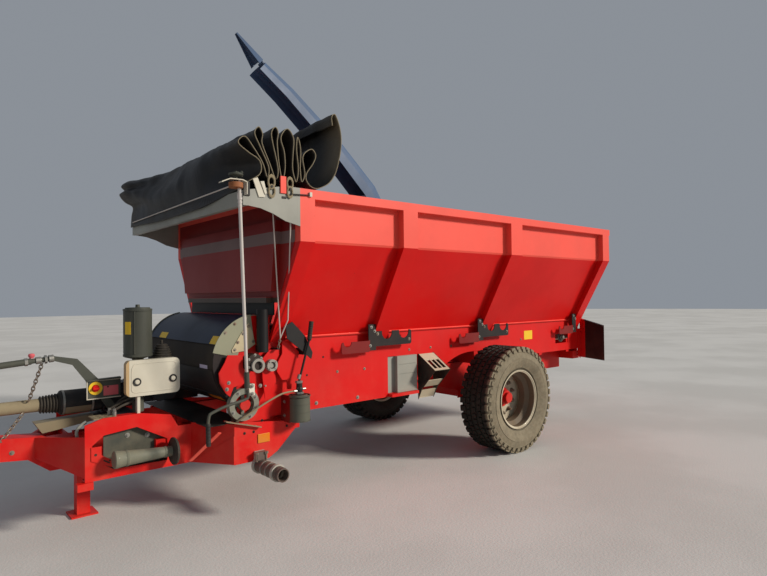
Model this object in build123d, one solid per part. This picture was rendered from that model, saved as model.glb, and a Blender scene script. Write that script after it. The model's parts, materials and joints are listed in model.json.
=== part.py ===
from build123d import *
import math
import os

# Towed single-axle straw blower, in millimetres. It is drawn in the axle frame: X forward to the towing eye,
# Y to the left, Z up from the ground, with X = 0 at the wheels. It is stored with its origin at the eye.

# Running gear
tyre_diameter = 1072
tyre_width = 385
tyre_wall = 24
rim_seat_radius = 285.75
rim_flange_radius = 298.5
rim_half_width = 149
rim_sheet = 8
well_depth = 40
disc_inset = 70
disc_sheet = 14
hub_radius = 100
hub_reach = 60
drum_radius = 190
drum_width = 150
wheel_offset = 1066
axle_height = tyre_diameter / 2
axle_side = 120
spindle_radius = 38
running_clearance = 0.05
seat_gap = 0.3

# Hopper
hopper_rear = -1987
hopper_front = 2575
hopper_half_width = 1180
rim_top = 2403
rim_depth = 70
rim_breadth = 100
kink_height = 2012
ledge_half_width = 712
ledge_height = 1274
ledge_lip = 22
sheet = 5
post_depth = 70
post_drop = 124
post_foot_depth = 8
post_belly = 62
skirt_front_bottom = 660
skirt_rear_bottom = 890
skirt_step = 1000
arch_front = 551
arch_rear = -620
arch_rise = 110
box_opening = (985, 1330, 692, 1034)      # rear, front, bottom, top of the opening for the tool box
chain_opening = (-1760, -1470, 985, 1105)
front_strip = 130
posts = [(1312, 1598), (-217, 97), (-1987, -1800)]      # rear face, front face of each post
post_widths = (170, 190, 150)
deck_height = 1040
deck_sheet = 5
deck_front = 2334
gate_top = rim_top - 113
gate_pin_height = rim_top - 43
gate_pin_back = 24
gate_pin_radius = 12
gate_pin_offset = 800

# Floor chain
slat_count = 14
slat_height = 28
slat_width = 50
slat_half = 650
chain_front = 2060
chain_offset = 330
chain_breadth = 40
chain_height = 24

# Chassis
rail_offset = 450
rail_breadth = 80
rail_depth = 225
rail_wall = 6
cross_depth = 170
cross_breadth = 60
cross_stations = (-1750, -1150, -550, 60, 660, 1380, 1860, 2290)
rail_top = deck_height - deck_sheet - cross_depth
rail_bottom = rail_top - rail_depth
rail_rear = -1900
rail_front = 2416
frame_plate = 10
front_frame_half = ledge_half_width + 40
front_frame_rear = 2322
front_frame_front = 2900
front_frame_bottom = rail_bottom - 294

# Drawbar
side_frame_offset = 450
side_sheet = 12
side_frame_rear = 3110
side_frame_front = 3850
side_frame_top = 773
side_frame_bottom = 350
flange_reach = 60
rack_reach = 150
rack_hole = 24
tongue_half = 80
tongue_rear = 3200
tongue_end = 4850
tongue_bottom = 380
tongue_top = 600
eye_x = 4960
eye_height = 630
eye_bore = 50
eye_radius = 62
eye_thickness = 44
leg_x = 3765
leg_side = 90
leg_wall = 8
leg_top = 515
leg_guide = 0.3
leg_sleeve_wall = 10
leg_travel = 150
foot_side = 180
foot_sheet = 12

# Beater, blower and fan
beater_x, beater_z, beater_radius = 2170, 1290, 205
rotor_x, rotor_z, rotor_radius = 2690, 1105, 300
end_wall = 10
rotor_half = ledge_half_width - end_wall
hood_radius = 362
hood_sheet = 5
cheek_sheet = 6
rotor_tube = 75
fan_x, fan_z, fan_radius = 2280, 960, 300
fan_depth = 228
duct_radius = 120
duct_wall = 4
duct_y, duct_z = hopper_half_width - 115, 1310
duct_shelf = 12
fan_outlet = 170

# Spout
spout_x, spout_y = -330, hopper_half_width + 132
ring_height = 2440
ring_radius = 160
spout_sheet = 4
flap_pin = 7
flap_length = 420
flap_half, flap_tip_half = 104, 20
flap_depth, flap_tip_depth = 84, 10
ear_half = 52

# Front header
visor_front = hopper_front + 458
visor_ridge = hopper_front + 120
visor_top_front = rim_top - 65
visor_bottom_front = rim_top - 168
visor_bottom_rear = rim_top - 281
visor_sheet = 6

# Drive shaft
shaft_z = 845
shaft_end = 4780
shaft_radius = 22
guard_radius = 36
cup_radius = 88
gearbox_front = 3640

# Things carried at the front
cylinder_disc = 84
can_radius = 84
can_y = ledge_half_width + 138
crank_radius = 12
pipe_stub_x, pipe_stub_z, pipe_stub_radius, pipe_stub_end = 2700, 312, 50, 1120

# Step under the ledge: its sheets lie between two side plates
step_rear, step_front = 722, 940
step_sheet = 6
# columns: distance out from the skirt and height, round the side plate
step_profile = [(0, 1036), (235, 885), (99, 740), (56, 698), (0, 587)]
# columns: start out and height, end out and height, of each sheet
treads = [(10, 1030, 228, 890), (133, 782, 70, 716), (40, 680, 4, 600)]


def box(x0, x1, y0, y1, z0, z1):
    return Pos((x0 + x1) / 2, (y0 + y1) / 2, (z0 + z1) / 2) * Box(abs(x1 - x0), abs(y1 - y0), abs(z1 - z0))


def prism(axis, points, start, end):
    """A flat outline, given by its two other coordinates in X, Y, Z order, drawn out along one axis."""
    place = {"X": lambda a, b: (start, a, b), "Y": lambda a, b: (a, start, b), "Z": lambda a, b: (a, b, start)}[axis]
    along = {"X": (1, 0, 0), "Y": (0, 1, 0), "Z": (0, 0, 1)}[axis]
    face = make_face(Polyline(*[place(a, b) for a, b in points], close=True))
    return extrude(face, amount=end - start, dir=along)


def rod(a, b, radius, bore=0):
    axis = Vector(*b) - Vector(*a)
    plane = Plane(origin=a, z_dir=axis)
    solid = plane * Cylinder(radius, axis.length, align=(Align.CENTER, Align.CENTER, Align.MIN))
    if bore:
        hole = plane * Cylinder(bore, axis.length, align=(Align.CENTER, Align.CENTER, Align.MIN))
        solid = solid - hole
    return solid


def disc_y(x, z, radius, y0, y1, bore=0):
    return rod((x, y0, z), (x, y1, z), radius, bore)


def bent_rod(points, radius):
    path = Polyline(*points)
    return sweep(Plane(origin=path @ 0, z_dir=path % 0) * Circle(radius), path=path, transition=Transition.RIGHT)


def folded(points, thickness):
    """The closed outline of a folded sheet: its outer line, and the same line set in by its thickness."""
    normals = []
    for (ay, az), (by, bz) in zip(points, points[1:]):
        length = math.hypot(by - ay, bz - az)
        normals.append(((bz - az) / length, -(by - ay) / length))
    inner = []
    for i, (y, z) in enumerate(points):
        n1 = normals[max(i - 1, 0)]
        n2 = normals[min(i, len(normals) - 1)]
        scale = thickness / (1 + n1[0] * n2[0] + n1[1] * n2[1])
        inner.append((y + (n1[0] + n2[0]) * scale, z + (n1[1] + n2[1]) * scale))
    return list(points) + inner[::-1]


def sector(cx, cz, inner, outer, start, end, y0, y1):
    """Part of a ring about an axis along Y, between two angles from +X towards +Z."""
    def at(radius, angle):
        return (cx + radius * math.cos(math.radians(angle)), y0, cz + radius * math.sin(math.radians(angle)))
    middle = (start + end) / 2
    outline = [ThreePointArc(at(outer, start), at(outer, middle), at(outer, end)), Line(at(outer, end), at(inner, end)),
               ThreePointArc(at(inner, end), at(inner, middle), at(inner, start)),
               Line(at(inner, start), at(outer, start))]
    return extrude(make_face(outline), amount=y1 - y0, dir=(0, 1, 0))


def joined(*solids):
    return Part() + list(solids)


def both_sides(solid):
    return joined(solid, mirror(solid, about=Plane.XZ))


# Hopper's side line, from the rim down: band, kink, ledge
panel_top = rim_top - rim_depth
panel_half = hopper_half_width - post_depth
slope = math.atan2(panel_half - ledge_half_width, kink_height - ledge_height)
panel_kink = kink_height + post_depth * math.tan(slope / 2)
panel_line = [(panel_half, panel_top), (panel_half, panel_kink), (ledge_half_width, ledge_height)]


def panel_y(z):
    """Outer face of the side wall at a height."""
    if z >= panel_kink:
        return panel_half
    if z <= ledge_height:
        return ledge_half_width
    return ledge_half_width + (z - ledge_height) * (panel_half - ledge_half_width) / (panel_kink - ledge_height)


# Running gear

def tyre():
    """Carcass with a rounded side wall and a lightly cambered crown."""
    crown = tyre_diameter / 2
    half = tyre_width / 2
    bead = rim_seat_radius + seat_gap
    bead_half = rim_half_width - 18
    bulge = bead + 120
    shoulder = (crown - 30, half - 14)
    wall = ThreePointArc((bead, bead_half), (bulge, half), shoulder)
    tread = Polyline(shoulder, (crown - 4, half - 44), (crown, 60), (crown, -60), (crown - 4, 44 - half),
                     (shoulder[0], -shoulder[1]))
    far_wall = ThreePointArc((shoulder[0], -shoulder[1]), (bulge, -half), (bead, -bead_half))
    heel = Line((bead, -bead_half), (bead, tyre_wall - bead_half))
    cavity = crown - tyre_wall - 12
    inner = Polyline((bead, tyre_wall - bead_half), (bead + 40, tyre_wall + 16 - half), (cavity - 40, 40 - half),
                     (cavity, 70 - half), (cavity, half - 70), (cavity - 40, half - 40),
                     (bead + 40, half - tyre_wall - 16), (bead, bead_half - tyre_wall))
    close = Line((bead, bead_half - tyre_wall), (bead, bead_half))
    return revolve(make_face([wall, tread, far_wall, heel, inner, close]), Axis.Y)


def rim():
    """Deep-dish rim with its disc set inboard; outboard is +Y."""
    seat, flange, half = rim_seat_radius, rim_flange_radius, rim_half_width
    well = seat - well_depth
    line = [(flange, half + 8), (flange, half), (seat, half - 6), (seat, 75), (well, 45),
            (well, -20), (seat, -50), (seat, 6 - half), (flange, -half), (flange, -half - 8)]
    barrel = revolve(make_face(Polyline(*folded(line, rim_sheet), close=True)), Axis.Y)
    inner = seat - rim_sheet + 1
    disc = Pos(0, -disc_inset, 0) * Rot(90, 0, 0) * Cylinder(inner, disc_sheet)
    disc = disc - Pos(0, -disc_inset, 0) * Rot(90, 0, 0) * Cylinder(hub_radius - 20, disc_sheet)
    return joined(barrel, disc)


def hub():
    back = -disc_inset - disc_sheet / 2
    face = -disc_inset + disc_sheet / 2
    drum = disc_y(0, 0, drum_radius, back - drum_width, back)
    hub_body = disc_y(0, 0, hub_radius - 21, back, face)
    nose = disc_y(0, 0, hub_radius, face, face + 12) + disc_y(0, 0, 72, face + 12, face + hub_reach)
    cap = disc_y(0, 0, 52, face + hub_reach, face + hub_reach + 34)
    bore = disc_y(0, 0, spindle_radius + running_clearance, back - drum_width, face + hub_reach - 20)
    return joined(drum, hub_body, nose, cap) - bore


def axle():
    """Square beam with a stub axle at each end and a stop plate inboard of each drum."""
    back = wheel_offset - disc_inset - disc_sheet / 2 - drum_width
    beam_end = back - 12
    beam = box(-axle_side / 2, axle_side / 2, -beam_end, beam_end, axle_height - axle_side / 2,
               axle_height + axle_side / 2)
    face = wheel_offset - disc_inset + disc_sheet / 2
    stub = disc_y(0, axle_height, spindle_radius, beam_end, face + hub_reach - 26)
    plate = disc_y(0, axle_height, drum_radius - 20, beam_end - 10, beam_end)
    return joined(beam, both_sides(stub), both_sides(plate))


# Chassis

def chassis():
    """Two box rails, each with a saddle on the axle and a long tapered cheek outside it."""
    near, far = rail_offset - rail_breadth / 2, rail_offset + rail_breadth / 2
    rail = box(rail_rear, rail_front, near, far, rail_bottom, rail_top)
    hollow = box(rail_rear, rail_front, near + rail_wall, far - rail_wall, rail_bottom + rail_wall,
                 rail_top - rail_wall)
    axle_top = axle_height + axle_side / 2
    saddle = prism("Y", [(-260, rail_bottom), (260, rail_bottom), (110, axle_top), (-110, axle_top)], near - 5,
                   far + 5)
    cheek_line = [(-420, rail_top), (900, rail_top), (700, rail_bottom + 60), (130, axle_height + 24),
                  (130, axle_height - 60), (70, axle_height - 60), (70, axle_top), (-70, axle_top),
                  (-70, axle_height - 60), (-130, axle_height - 60), (-130, axle_top)]
    cheek = prism("Y", cheek_line, far + 5, far + 15)
    return joined(both_sides(rail - hollow), both_sides(saddle), both_sides(cheek))


def cross_members():
    """Deep channels that carry the deck and the skirts, laid across the rails."""
    end = ledge_half_width - sheet
    half = cross_breadth / 2
    top = deck_height - deck_sheet
    return joined(*[box(x - half, x + half, -end, end, rail_top, top) for x in cross_stations])


def front_frame():
    """Side plates with a sloping lip, tapered gussets to the drawbar, and the tubes between them."""
    half, inner = front_frame_half, front_frame_half - frame_plate
    rear, front, foot = front_frame_rear, front_frame_front, front_frame_bottom
    top = rail_bottom - 40
    plate = prism("Y", [(rear, top), (rear, top - 15), (rear + 210, foot + 43), (rear + 290, foot), (front, foot),
                        (front, top + 62)], inner, half)
    lip = prism("Y", [(front - 210, top), (front + 80, top + 82), (front + 80, top + 90), (front - 210, top + 8)],
                inner, half + 36)
    taper = prism("Z", [(front - 12, half), (front, half), (side_frame_rear, side_frame_offset),
                        (side_frame_rear - 12, side_frame_offset)], foot, rail_bottom + 10)
    cut = prism("X", [(half, rail_bottom - 80), (half, rail_bottom + 10), (side_frame_offset, rail_bottom + 10),
                      (side_frame_offset, foot)], front - 20, side_frame_rear + 10)
    tube_top = foot + 124
    front_tube = box(front - 160, front - 40, -inner, inner, foot + 14, tube_top)
    rear_tube = box(rear, rear + 90, -inner, inner, top - 60, top)
    near, far = rail_offset - rail_breadth / 2, rail_offset + rail_breadth / 2
    post = box(rear, rear + 90, near, far, top, rail_bottom)
    bar = box(rear + 90, front - 160, near, far, tube_top, rail_bottom)
    nose = box(front - 160, front - 10, near, far, tube_top, rail_bottom)
    return joined(both_sides(plate), both_sides(lip), both_sides(taper & cut), front_tube, rear_tube,
                  both_sides(post), both_sides(bar), both_sides(nose))


def drawbar():
    """Two pierced side plates with flanges, slanted nose plates, the tongue and the leg's sleeve."""
    y1, y0 = side_frame_offset, side_frame_offset - side_sheet
    top, foot, front = side_frame_top, side_frame_bottom, side_frame_front
    side_line = [(front_frame_front - 10, 480), (side_frame_rear, foot), (front, foot), (front, top - 35),
                 (front - 116, top), (3480, top), (3263, top - 40), (3209, rail_bottom),
                 (front_frame_front - 10, rail_bottom)]
    window = [(3292, foot + 50), (3664, foot + 57), (3804, 500), (3804, 593), (3727, top - 119),
              (3508, top - 94), (3290, 560)]
    side = prism("Y", side_line, y0, y1) - prism("Y", window, y0 - 1, y1 + 1)
    flange = box(3480, 3640, y0 - flange_reach, y0, top - 10, top)
    low_flange = box(side_frame_rear, front, y0 - flange_reach, y0, foot, foot + 10)
    rack = box(3640, 3790, y0 - rack_reach, y0, top - 8, top)
    holes = [box(x, x + rack_hole, y, y + rack_hole, top - 9, top + 1)
             for x in (3656, 3700, 3744) for y in (y0 - 130, y0 - 86, y0 - 42)]
    shoe = box(front - 50, front + 50, y0 - 20, y1 + 20, foot - 50, foot)
    nose_plan = prism("Z", [(front - 12, y1), (front, y1), (4085, tongue_half), (4060, tongue_half)], foot + 20, 670)
    nose_face = prism("X", [(y1, foot + 30), (tongue_half, 487), (tongue_half, 632), (y1, 660)], front - 20, 4100)
    tongue_line = [(tongue_rear, tongue_bottom), (3990, tongue_bottom), (4126, 484), (tongue_end, eye_height - 75),
                   (tongue_end, eye_height + 75), (4037, 632), (3990, tongue_top), (tongue_rear, tongue_top)]
    tongue = prism("Y", tongue_line, -tongue_half, tongue_half)
    crosses = [box(x0, x1, -y0, y0, 430, 560) for x0, x1 in ((3250, 3370), (3800, 3846))]
    hole = leg_side / 2 + leg_guide
    out = hole + leg_sleeve_wall
    sleeve = box(leg_x - out, leg_x + out, -out, out, tongue_bottom - 40, tongue_top + 20)
    slot = box(leg_x - hole, leg_x + hole, -hole, hole, 0, 1000)
    end_plate = box(tongue_end, tongue_end + 20, -tongue_half, tongue_half, eye_height - 75, eye_height + 75)
    return joined(both_sides(side), both_sides(flange), both_sides(low_flange), both_sides(rack - joined(*holes)),
                  both_sides(shoe), both_sides(nose_plan & nose_face), tongue, *crosses, sleeve, end_plate) - slot


def towing_eye():
    base = tongue_end + 20
    low, high = eye_height - eye_thickness / 2, eye_height + eye_thickness / 2
    ring = rod((eye_x, 0, low), (eye_x, 0, high), eye_radius)
    shank = box(base, eye_x, -34, 34, low, high)
    flange = box(base, base + 16, -62, 62, eye_height - 62, eye_height + 62)
    hole = rod((eye_x, 0, low - 10), (eye_x, 0, high + 10), eye_bore / 2)
    return joined(ring, shank, flange) - hole


def parking_leg():
    half, core_half = leg_side / 2, leg_side / 2 - leg_wall
    tube = box(leg_x - half, leg_x + half, -half, half, foot_sheet, leg_top)
    core = box(leg_x - core_half, leg_x + core_half, -core_half, core_half, foot_sheet, leg_top)
    foot = box(leg_x - foot_side / 2, leg_x + foot_side / 2, -foot_side / 2, foot_side / 2, 0, foot_sheet)
    return joined(tube - core, foot)


# Hopper

def hopper_side():
    """Left wall: band, slope and ledge in one folded sheet, and the skirt under it, arched over the wheel."""
    wall_line = panel_line + [(ledge_half_width, ledge_height - 40)]
    wall = prism("X", folded(wall_line, sheet), hopper_rear, hopper_front)
    inner = ledge_half_width - sheet
    low, high = skirt_rear_bottom, skirt_rear_bottom + arch_rise
    line = [Polyline((arch_front, inner, low), (skirt_step, inner, low), (skirt_step, inner, skirt_front_bottom),
                     (hopper_front, inner, skirt_front_bottom), (hopper_front, inner, ledge_height),
                     (hopper_rear, inner, ledge_height), (hopper_rear, inner, low), (arch_rear, inner, low),
                     (arch_rear + 200, inner, high), (118, inner, high)),
            ThreePointArc((118, inner, high), (350, inner, low + 0.75 * arch_rise), (arch_front, inner, low))]
    skirt = extrude(make_face(line), amount=sheet, dir=(0, 1, 0))
    lip = box(hopper_rear, hopper_front, ledge_half_width, ledge_half_width + ledge_lip, ledge_height - 6,
              ledge_height)
    strip_line = [(hopper_half_width, panel_top), (hopper_half_width, kink_height),
                  (ledge_half_width + post_foot_depth, ledge_height - 30), (ledge_half_width, ledge_height - 30),
                  (ledge_half_width, ledge_height)] + panel_line[1::-1]
    strip = prism("X", strip_line, hopper_front - front_strip, hopper_front)
    openings = [box(x0, x1, inner - 1, ledge_half_width + 1, z0, z1) for x0, x1, z0, z1 in (box_opening, chain_opening)]
    return joined(wall, skirt, lip, strip) - joined(*openings)


def side_posts():
    """Upright ribs that stand on the slope and taper to a tip under the ledge."""
    solids = []
    tip = ledge_height - post_drop
    near = ledge_half_width
    for (rear, front), width in zip(posts, post_widths):
        middle = (rear + front) / 2
        line = [(hopper_half_width, panel_top), (hopper_half_width, kink_height),
                (near + post_belly, ledge_height - 10), (near + post_foot_depth, tip), (near, tip),
                (near, ledge_height - 6), (near + ledge_lip, ledge_height - 6), (near + ledge_lip, ledge_height),
                (near, ledge_height)] + panel_line[1::-1]
        solids.append(prism("X", line, middle - width / 2, middle + width / 2))
    return joined(*solids)


def duct_shelves():
    """Brackets under the duct, on the first two posts of the right side."""
    top = duct_z - duct_radius - seat_gap
    solids = []
    for (rear, front), width in zip(posts[:2], post_widths):
        middle = (rear + front) / 2
        line = [(ledge_half_width, top), (ledge_half_width, top - 90), (duct_y + 60, top - duct_shelf),
                (duct_y + 60, top)]
        solids.append(prism("X", line, middle - 30, middle + 30))
    return solids


def gate_hinges():
    """Two pairs of lugs behind the rear rim, bored for the gate's pins."""
    solids = []
    for y in (-gate_pin_offset, gate_pin_offset):
        for side in (-1, 1):
            solids.append(box(hopper_rear - 44, hopper_rear, y + side * 22, y + side * 34, panel_top + 5, rim_top - 5))
    bores = [disc_y(hopper_rear - gate_pin_back, gate_pin_height, gate_pin_radius + running_clearance, y - 60, y + 60)
             for y in (-gate_pin_offset, gate_pin_offset)]
    return joined(*solids) - joined(*bores)


def rims():
    """Box beams round the top, with the gate's hinge lugs behind the rear one."""
    inner = hopper_half_width - rim_breadth
    side = box(hopper_rear, hopper_front, inner, hopper_half_width, panel_top, rim_top)
    ends = [box(x, x + rim_breadth, -inner, inner, panel_top, rim_top)
            for x in (hopper_rear, hopper_front - rim_breadth)]
    return joined(both_sides(side), *ends, gate_hinges())


def front_wall():
    """Sheet between the sides with a raised panel and a strip along its foot."""
    foot = 1560
    inside = [(panel_half, panel_top), (panel_half, panel_kink), (panel_y(foot), foot)]
    outline = [(y, z) for y, z in inside] + [(-y, z) for y, z in inside[::-1]]
    plate = prism("X", outline, hopper_front, hopper_front + sheet)
    raised_top, raised_foot = panel_half - 180, panel_y(1650) - 60
    raised = prism("X", [(raised_top, 2190), (-raised_top, 2190), (-raised_foot, 1650), (raised_foot, 1650)],
                   hopper_front + sheet, hopper_front + 62)
    foot_half = panel_y(foot) - 90
    foot_bar = box(hopper_front + sheet, hopper_front + 60, -foot_half, foot_half, foot, foot + 45)
    return joined(plate, raised, foot_bar)


def deck():
    inner = ledge_half_width - sheet
    return box(hopper_rear, deck_front, -inner, inner, deck_height - deck_sheet, deck_height)


def floor_chain():
    """Two chains with slats between them, running forward over the deck."""
    first, last = hopper_rear + 130, chain_front
    solids = []
    for side in (-1, 1):
        y = side * chain_offset
        solids.append(box(first - 60, last + 60, y - chain_breadth / 2, y + chain_breadth / 2,
                          deck_height + seat_gap, deck_height + chain_height))
    pitch = (last - first) / (slat_count - 1)
    for i in range(slat_count):
        x = first + pitch * i
        solids.append(box(x - slat_width / 2, x + slat_width / 2, -slat_half, slat_half,
                          deck_height + seat_gap, deck_height + slat_height))
    return joined(*solids)


def tailgate():
    """Rear door hung at its top, with a pressed frame."""
    x1 = hopper_rear - 6
    top, bottom = gate_top, deck_height - 35
    edge = [(panel_half, top), (panel_half, panel_kink), (ledge_half_width, ledge_height), (ledge_half_width, bottom)]
    outline = edge + [(-y, z) for y, z in edge[::-1]]
    plate = prism("X", outline, x1 - 6, x1)
    ribs = [box(x1 - 50, x1 - 6, -panel_y(z) + 20, panel_y(z) - 20, z - 30, z + 30) for z in (1500, 2000)]
    uprights = [box(x1 - 50, x1 - 6, y - 30, y + 30, bottom, top) for y in (-600, 0, 600)]
    sides = (-gate_pin_offset, gate_pin_offset)
    ears = [box(x1 - 30, x1 - 6, y - 14, y + 14, top - 40, gate_pin_height + 18) for y in sides]
    pins = [disc_y(hopper_rear - gate_pin_back, gate_pin_height, gate_pin_radius, y - 50, y + 50) for y in sides]
    return joined(plate, *ribs, *uprights, *ears, *pins)


def rear_frame():
    """Gusset and lamp board at each rear corner, the bumper between them and the sill under the deck."""
    near, inner = ledge_half_width, ledge_half_width - sheet
    back = hopper_rear - 60
    gusset = prism("Y", [(hopper_rear, 1150), (back, 1150), (back, 760), (hopper_rear, 800)], near, near + 8)
    board = prism("X", [(near, 1290), (near + 338, 1200), (near + 338, 750), (near, 775)], back - 8, back)
    edge = prism("X", [(near, 1290), (near + 338, 1200), (near + 338, 1190), (near, 1280)], back, back + 34)
    shelf = box(back, hopper_rear, near + 8, near + 60, 1130, 1150)
    bumper = box(back, rail_rear, 20 - near, near - 20, 760, rail_top - 5)
    sill = box(hopper_rear, hopper_rear + 10, -inner, inner, rail_top - 5, deck_height - deck_sheet)
    return joined(both_sides(gusset), both_sides(board), both_sides(edge), both_sides(shelf), bumper, sill)


def rear_lamps():
    back = hopper_rear - 68
    lamp = box(back - 26, back, ledge_half_width + 78, ledge_half_width + 298, 900, 1020)
    return both_sides(fillet(lamp.edges().filter_by(Axis.X), 22))


def visor():
    """Front header: side plates with an arched lower edge, a front beam and the sheet between them."""
    inner = hopper_half_width - visor_sheet
    front, top = visor_front, visor_top_front
    low, high = visor_bottom_rear, visor_bottom_front
    arch = [(hopper_front, low), (hopper_front + 125, low + 28), (hopper_front + 225, low + 73),
            (front - 133, high - 10), (front - 40, high)]
    side_line = arch + [(front, visor_bottom_front), (front, top), (visor_ridge, rim_top), (hopper_front, rim_top)]
    side = prism("Y", side_line, inner, hopper_half_width)
    beam = box(front - 40, front, -inner, inner, visor_bottom_front, top)
    skin = [(front - 40, top), (front, top), (visor_ridge, rim_top), (hopper_front, rim_top),
            (hopper_front, rim_top - visor_sheet), (visor_ridge - 2, rim_top - visor_sheet), (front - 40, top + 3)]
    return joined(both_sides(side), beam, prism("Y", skin, -inner, inner))


# Beater, blower and fan

def paddles(x, z, tube, tip, rows, count, half, phase):
    """Flat paddles standing on a drum in rows."""
    solids = []
    pitch = 2 * half / count
    for row in range(rows):
        angle = math.radians(phase + 360 * row / rows)
        for i in range(count):
            y = -half + pitch * (i + 0.5)
            blade = box(tube - 5, tip, y - pitch * 0.34, y + pitch * 0.34, -5, 5)
            solids.append(Pos(x, 0, z) * Rot(0, -math.degrees(angle), 0) * blade)
    return solids


def beater():
    drum_half = rotor_half - 62
    drum = disc_y(beater_x, beater_z, 70, -drum_half, drum_half)
    shaft_end = ledge_half_width - sheet - seat_gap
    shaft = disc_y(beater_x, beater_z, 30, -shaft_end, shaft_end)
    return joined(drum, shaft, *paddles(beater_x, beater_z, 70, beater_radius, 4, 6, drum_half - 20, 20))


def rotor():
    drum_half = rotor_half - 42
    drum = disc_y(rotor_x, rotor_z, rotor_tube, -drum_half, drum_half)
    end = rotor_half - seat_gap
    shaft = disc_y(rotor_x, rotor_z, 34, -end, end)
    return joined(drum, shaft, *paddles(rotor_x, rotor_z, rotor_tube, rotor_radius, 4, 6, drum_half - 10, 40))


def hood():
    """Curved cover over the rotor, with a cheek at each end and a bolted plate on the left one."""
    half = rotor_half + end_wall
    outer = half + cheek_sheet
    cover = sector(rotor_x, rotor_z, hood_radius - hood_sheet, hood_radius, 24, 106, -half, half)
    cheek = sector(rotor_x, rotor_z, hood_radius - 190, hood_radius + 8, 14, 82, half, outer)
    plate_line = [(2902, 1207), (2830, 1320), (2762, 1408), (2730, 1341), (2706, 1241), (2783, 1194), (2897, 1185)]
    plate = prism("Y", plate_line, outer, outer + 6)
    return joined(cover, both_sides(cheek), plate)


def end_guards():
    """Red guards on spacers before the left end wall: the front one, the bearing's bracket and the side one."""
    wall = ledge_half_width
    front_line = [(2948, 1173), (2827, 1164), (2824, 946), (2904, 929), (2932, 862), (2965, 890), (3012, 970),
                  (3020, 1045), (2975, 1115)]
    bracket_line = [(2600, 1190), (2515, 1190), (2505, 1073), (2552, 1019), (2543, 928), (2589, 888), (2640, 809),
                    (2663, 981), (2662, 1127)]
    side_line = [(2498, 1255), (2445, 1256), (2344, 1157), (2374, 951), (2411, 951), (2417, 864), (2455, 868),
                 (2459, 942), (2501, 946), (2547, 1018), (2536, 1094), (2499, 1155)]
    # columns: outline, inner and outer face, and the spacer's rear, front, bottom and top
    guards = [(front_line, 30, 40, 2850, 2930, 1000, 1060), (bracket_line, 36, 44, 2590, 2630, 960, 1000),
              (side_line, 58, 66, 2420, 2460, 1080, 1130)]
    solids = []
    for line, near, far, x0, x1, z0, z1 in guards:
        solids.append(prism("Y", line, wall + near, wall + far))
        solids.append(box(x0, x1, wall, wall + near, z0, z1))
    return solids


def rotor_housing():
    """Trough under the rotor, the two end walls that carry it and the guards outside the left one."""
    half = rotor_half
    radius = hood_radius - hood_sheet - seat_gap
    start = 180 + math.degrees(math.asin((rotor_z - deck_height) / radius))
    trough = sector(rotor_x, rotor_z, radius - 5, radius, start, 330, -half, half)
    disc = disc_y(rotor_x, rotor_z, radius, half, half + end_wall)
    clip = box(hopper_front, visor_front + 100, half - 1, half + end_wall + 1, 700, 1500)
    foot = box(hopper_front, front_frame_front, half, half + end_wall, rail_bottom, 900)
    return joined(trough, both_sides(joined(disc & clip, foot)), *end_guards())


def motors():
    """Drive motors and a bearing ring on the left end wall, and the flanged ring under them."""
    wall = ledge_half_width + seat_gap
    first = disc_y(2752, 1105, 68, wall, wall + 96) + disc_y(2735, 1083, 54, wall + 96, wall + 118, 34)
    second = disc_y(2596, 1071, 46, wall + 44, wall + 84, 27) + disc_y(2596, 1071, 20, wall + 44, wall + 70)
    ring = disc_y(2820, 790, 122, wall, wall + 50, 80)
    core = disc_y(2820, 790, 42, wall, wall + 66)
    spokes = [box(2808, 2832, wall, wall + 20, 700, 880), box(2730, 2910, wall, wall + 20, 778, 802)]
    arm = box(2750, 2796, wall, wall + 80, 858, 944)
    ram = rod((2674, 780, 1180), (2674, 780, 1510), 45)
    ram_foot = box(2650, 2698, wall, 760, 1180, 1230)
    return joined(first, second, ring, core, *spokes, arm, ram, ram_foot)


def fan():
    """Fan casing on the right side, with its flanges, its bearing and its outlet into the duct."""
    outer = ledge_half_width + fan_depth
    case = disc_y(fan_x, fan_z, fan_radius, -outer, -ledge_half_width)
    flanges = [disc_y(fan_x, fan_z, fan_radius + 7, -y - 8, -y) for y in (ledge_half_width, outer - 8)]
    bearing = disc_y(fan_x, fan_z, 110, -outer - 12, -outer) + disc_y(fan_x, fan_z, 60, -outer - 60, -outer - 12)
    throat = box(fan_x - fan_outlet, fan_x + 40, -duct_y - duct_radius, 10 - outer, duct_z - duct_radius - 10,
                 duct_z + duct_radius)
    return joined(case, *flanges, bearing, throat)


def duct():
    """Round pipe along the right flank that turns up and out to the swivel ring."""
    x, y = spout_x, duct_y
    points = [(fan_x - fan_outlet - seat_gap, -y, duct_z), (x + 180, -y, duct_z), (x + 40, -y, duct_z + 90),
              (x, -y - 20, duct_z + 300), (x, -spout_y, ring_height - 400), (x, -spout_y, ring_height)]
    pipe = bent_rod(points, duct_radius)
    core = bent_rod(points, duct_radius - duct_wall)
    collar = rod((spout_x, -spout_y, ring_height - 20), (spout_x, -spout_y, ring_height), ring_radius,
                 duct_radius - duct_wall)
    flanges = [rod((x, -duct_y, duct_z), (x + 16, -duct_y, duct_z), duct_radius + 18, duct_radius - duct_wall)
               for x in (2040, 700)]
    return joined(pipe - core, collar, *flanges)


# Spout: stations along its curve, given from the foot to the end
# columns: x and z of the open side, slope of the run in degrees, width, depth
spout_stations = [
    (-180, 2490, 90, 300, 300),
    (-165, 2640, 80, 300, 300),
    (60, 2960, 56, 300, 290),
    (620, 3500, 46, 290, 250),
    (1250, 4020, 42, 275, 200),
    (1600, 4270, 40, 262, 165),
]
# The section's bends, as shares of half the width and of the depth
spout_bends = [(1, 0.46), (0.86, 0.74), (0.55, 0.93), (0.2, 1)]


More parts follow.
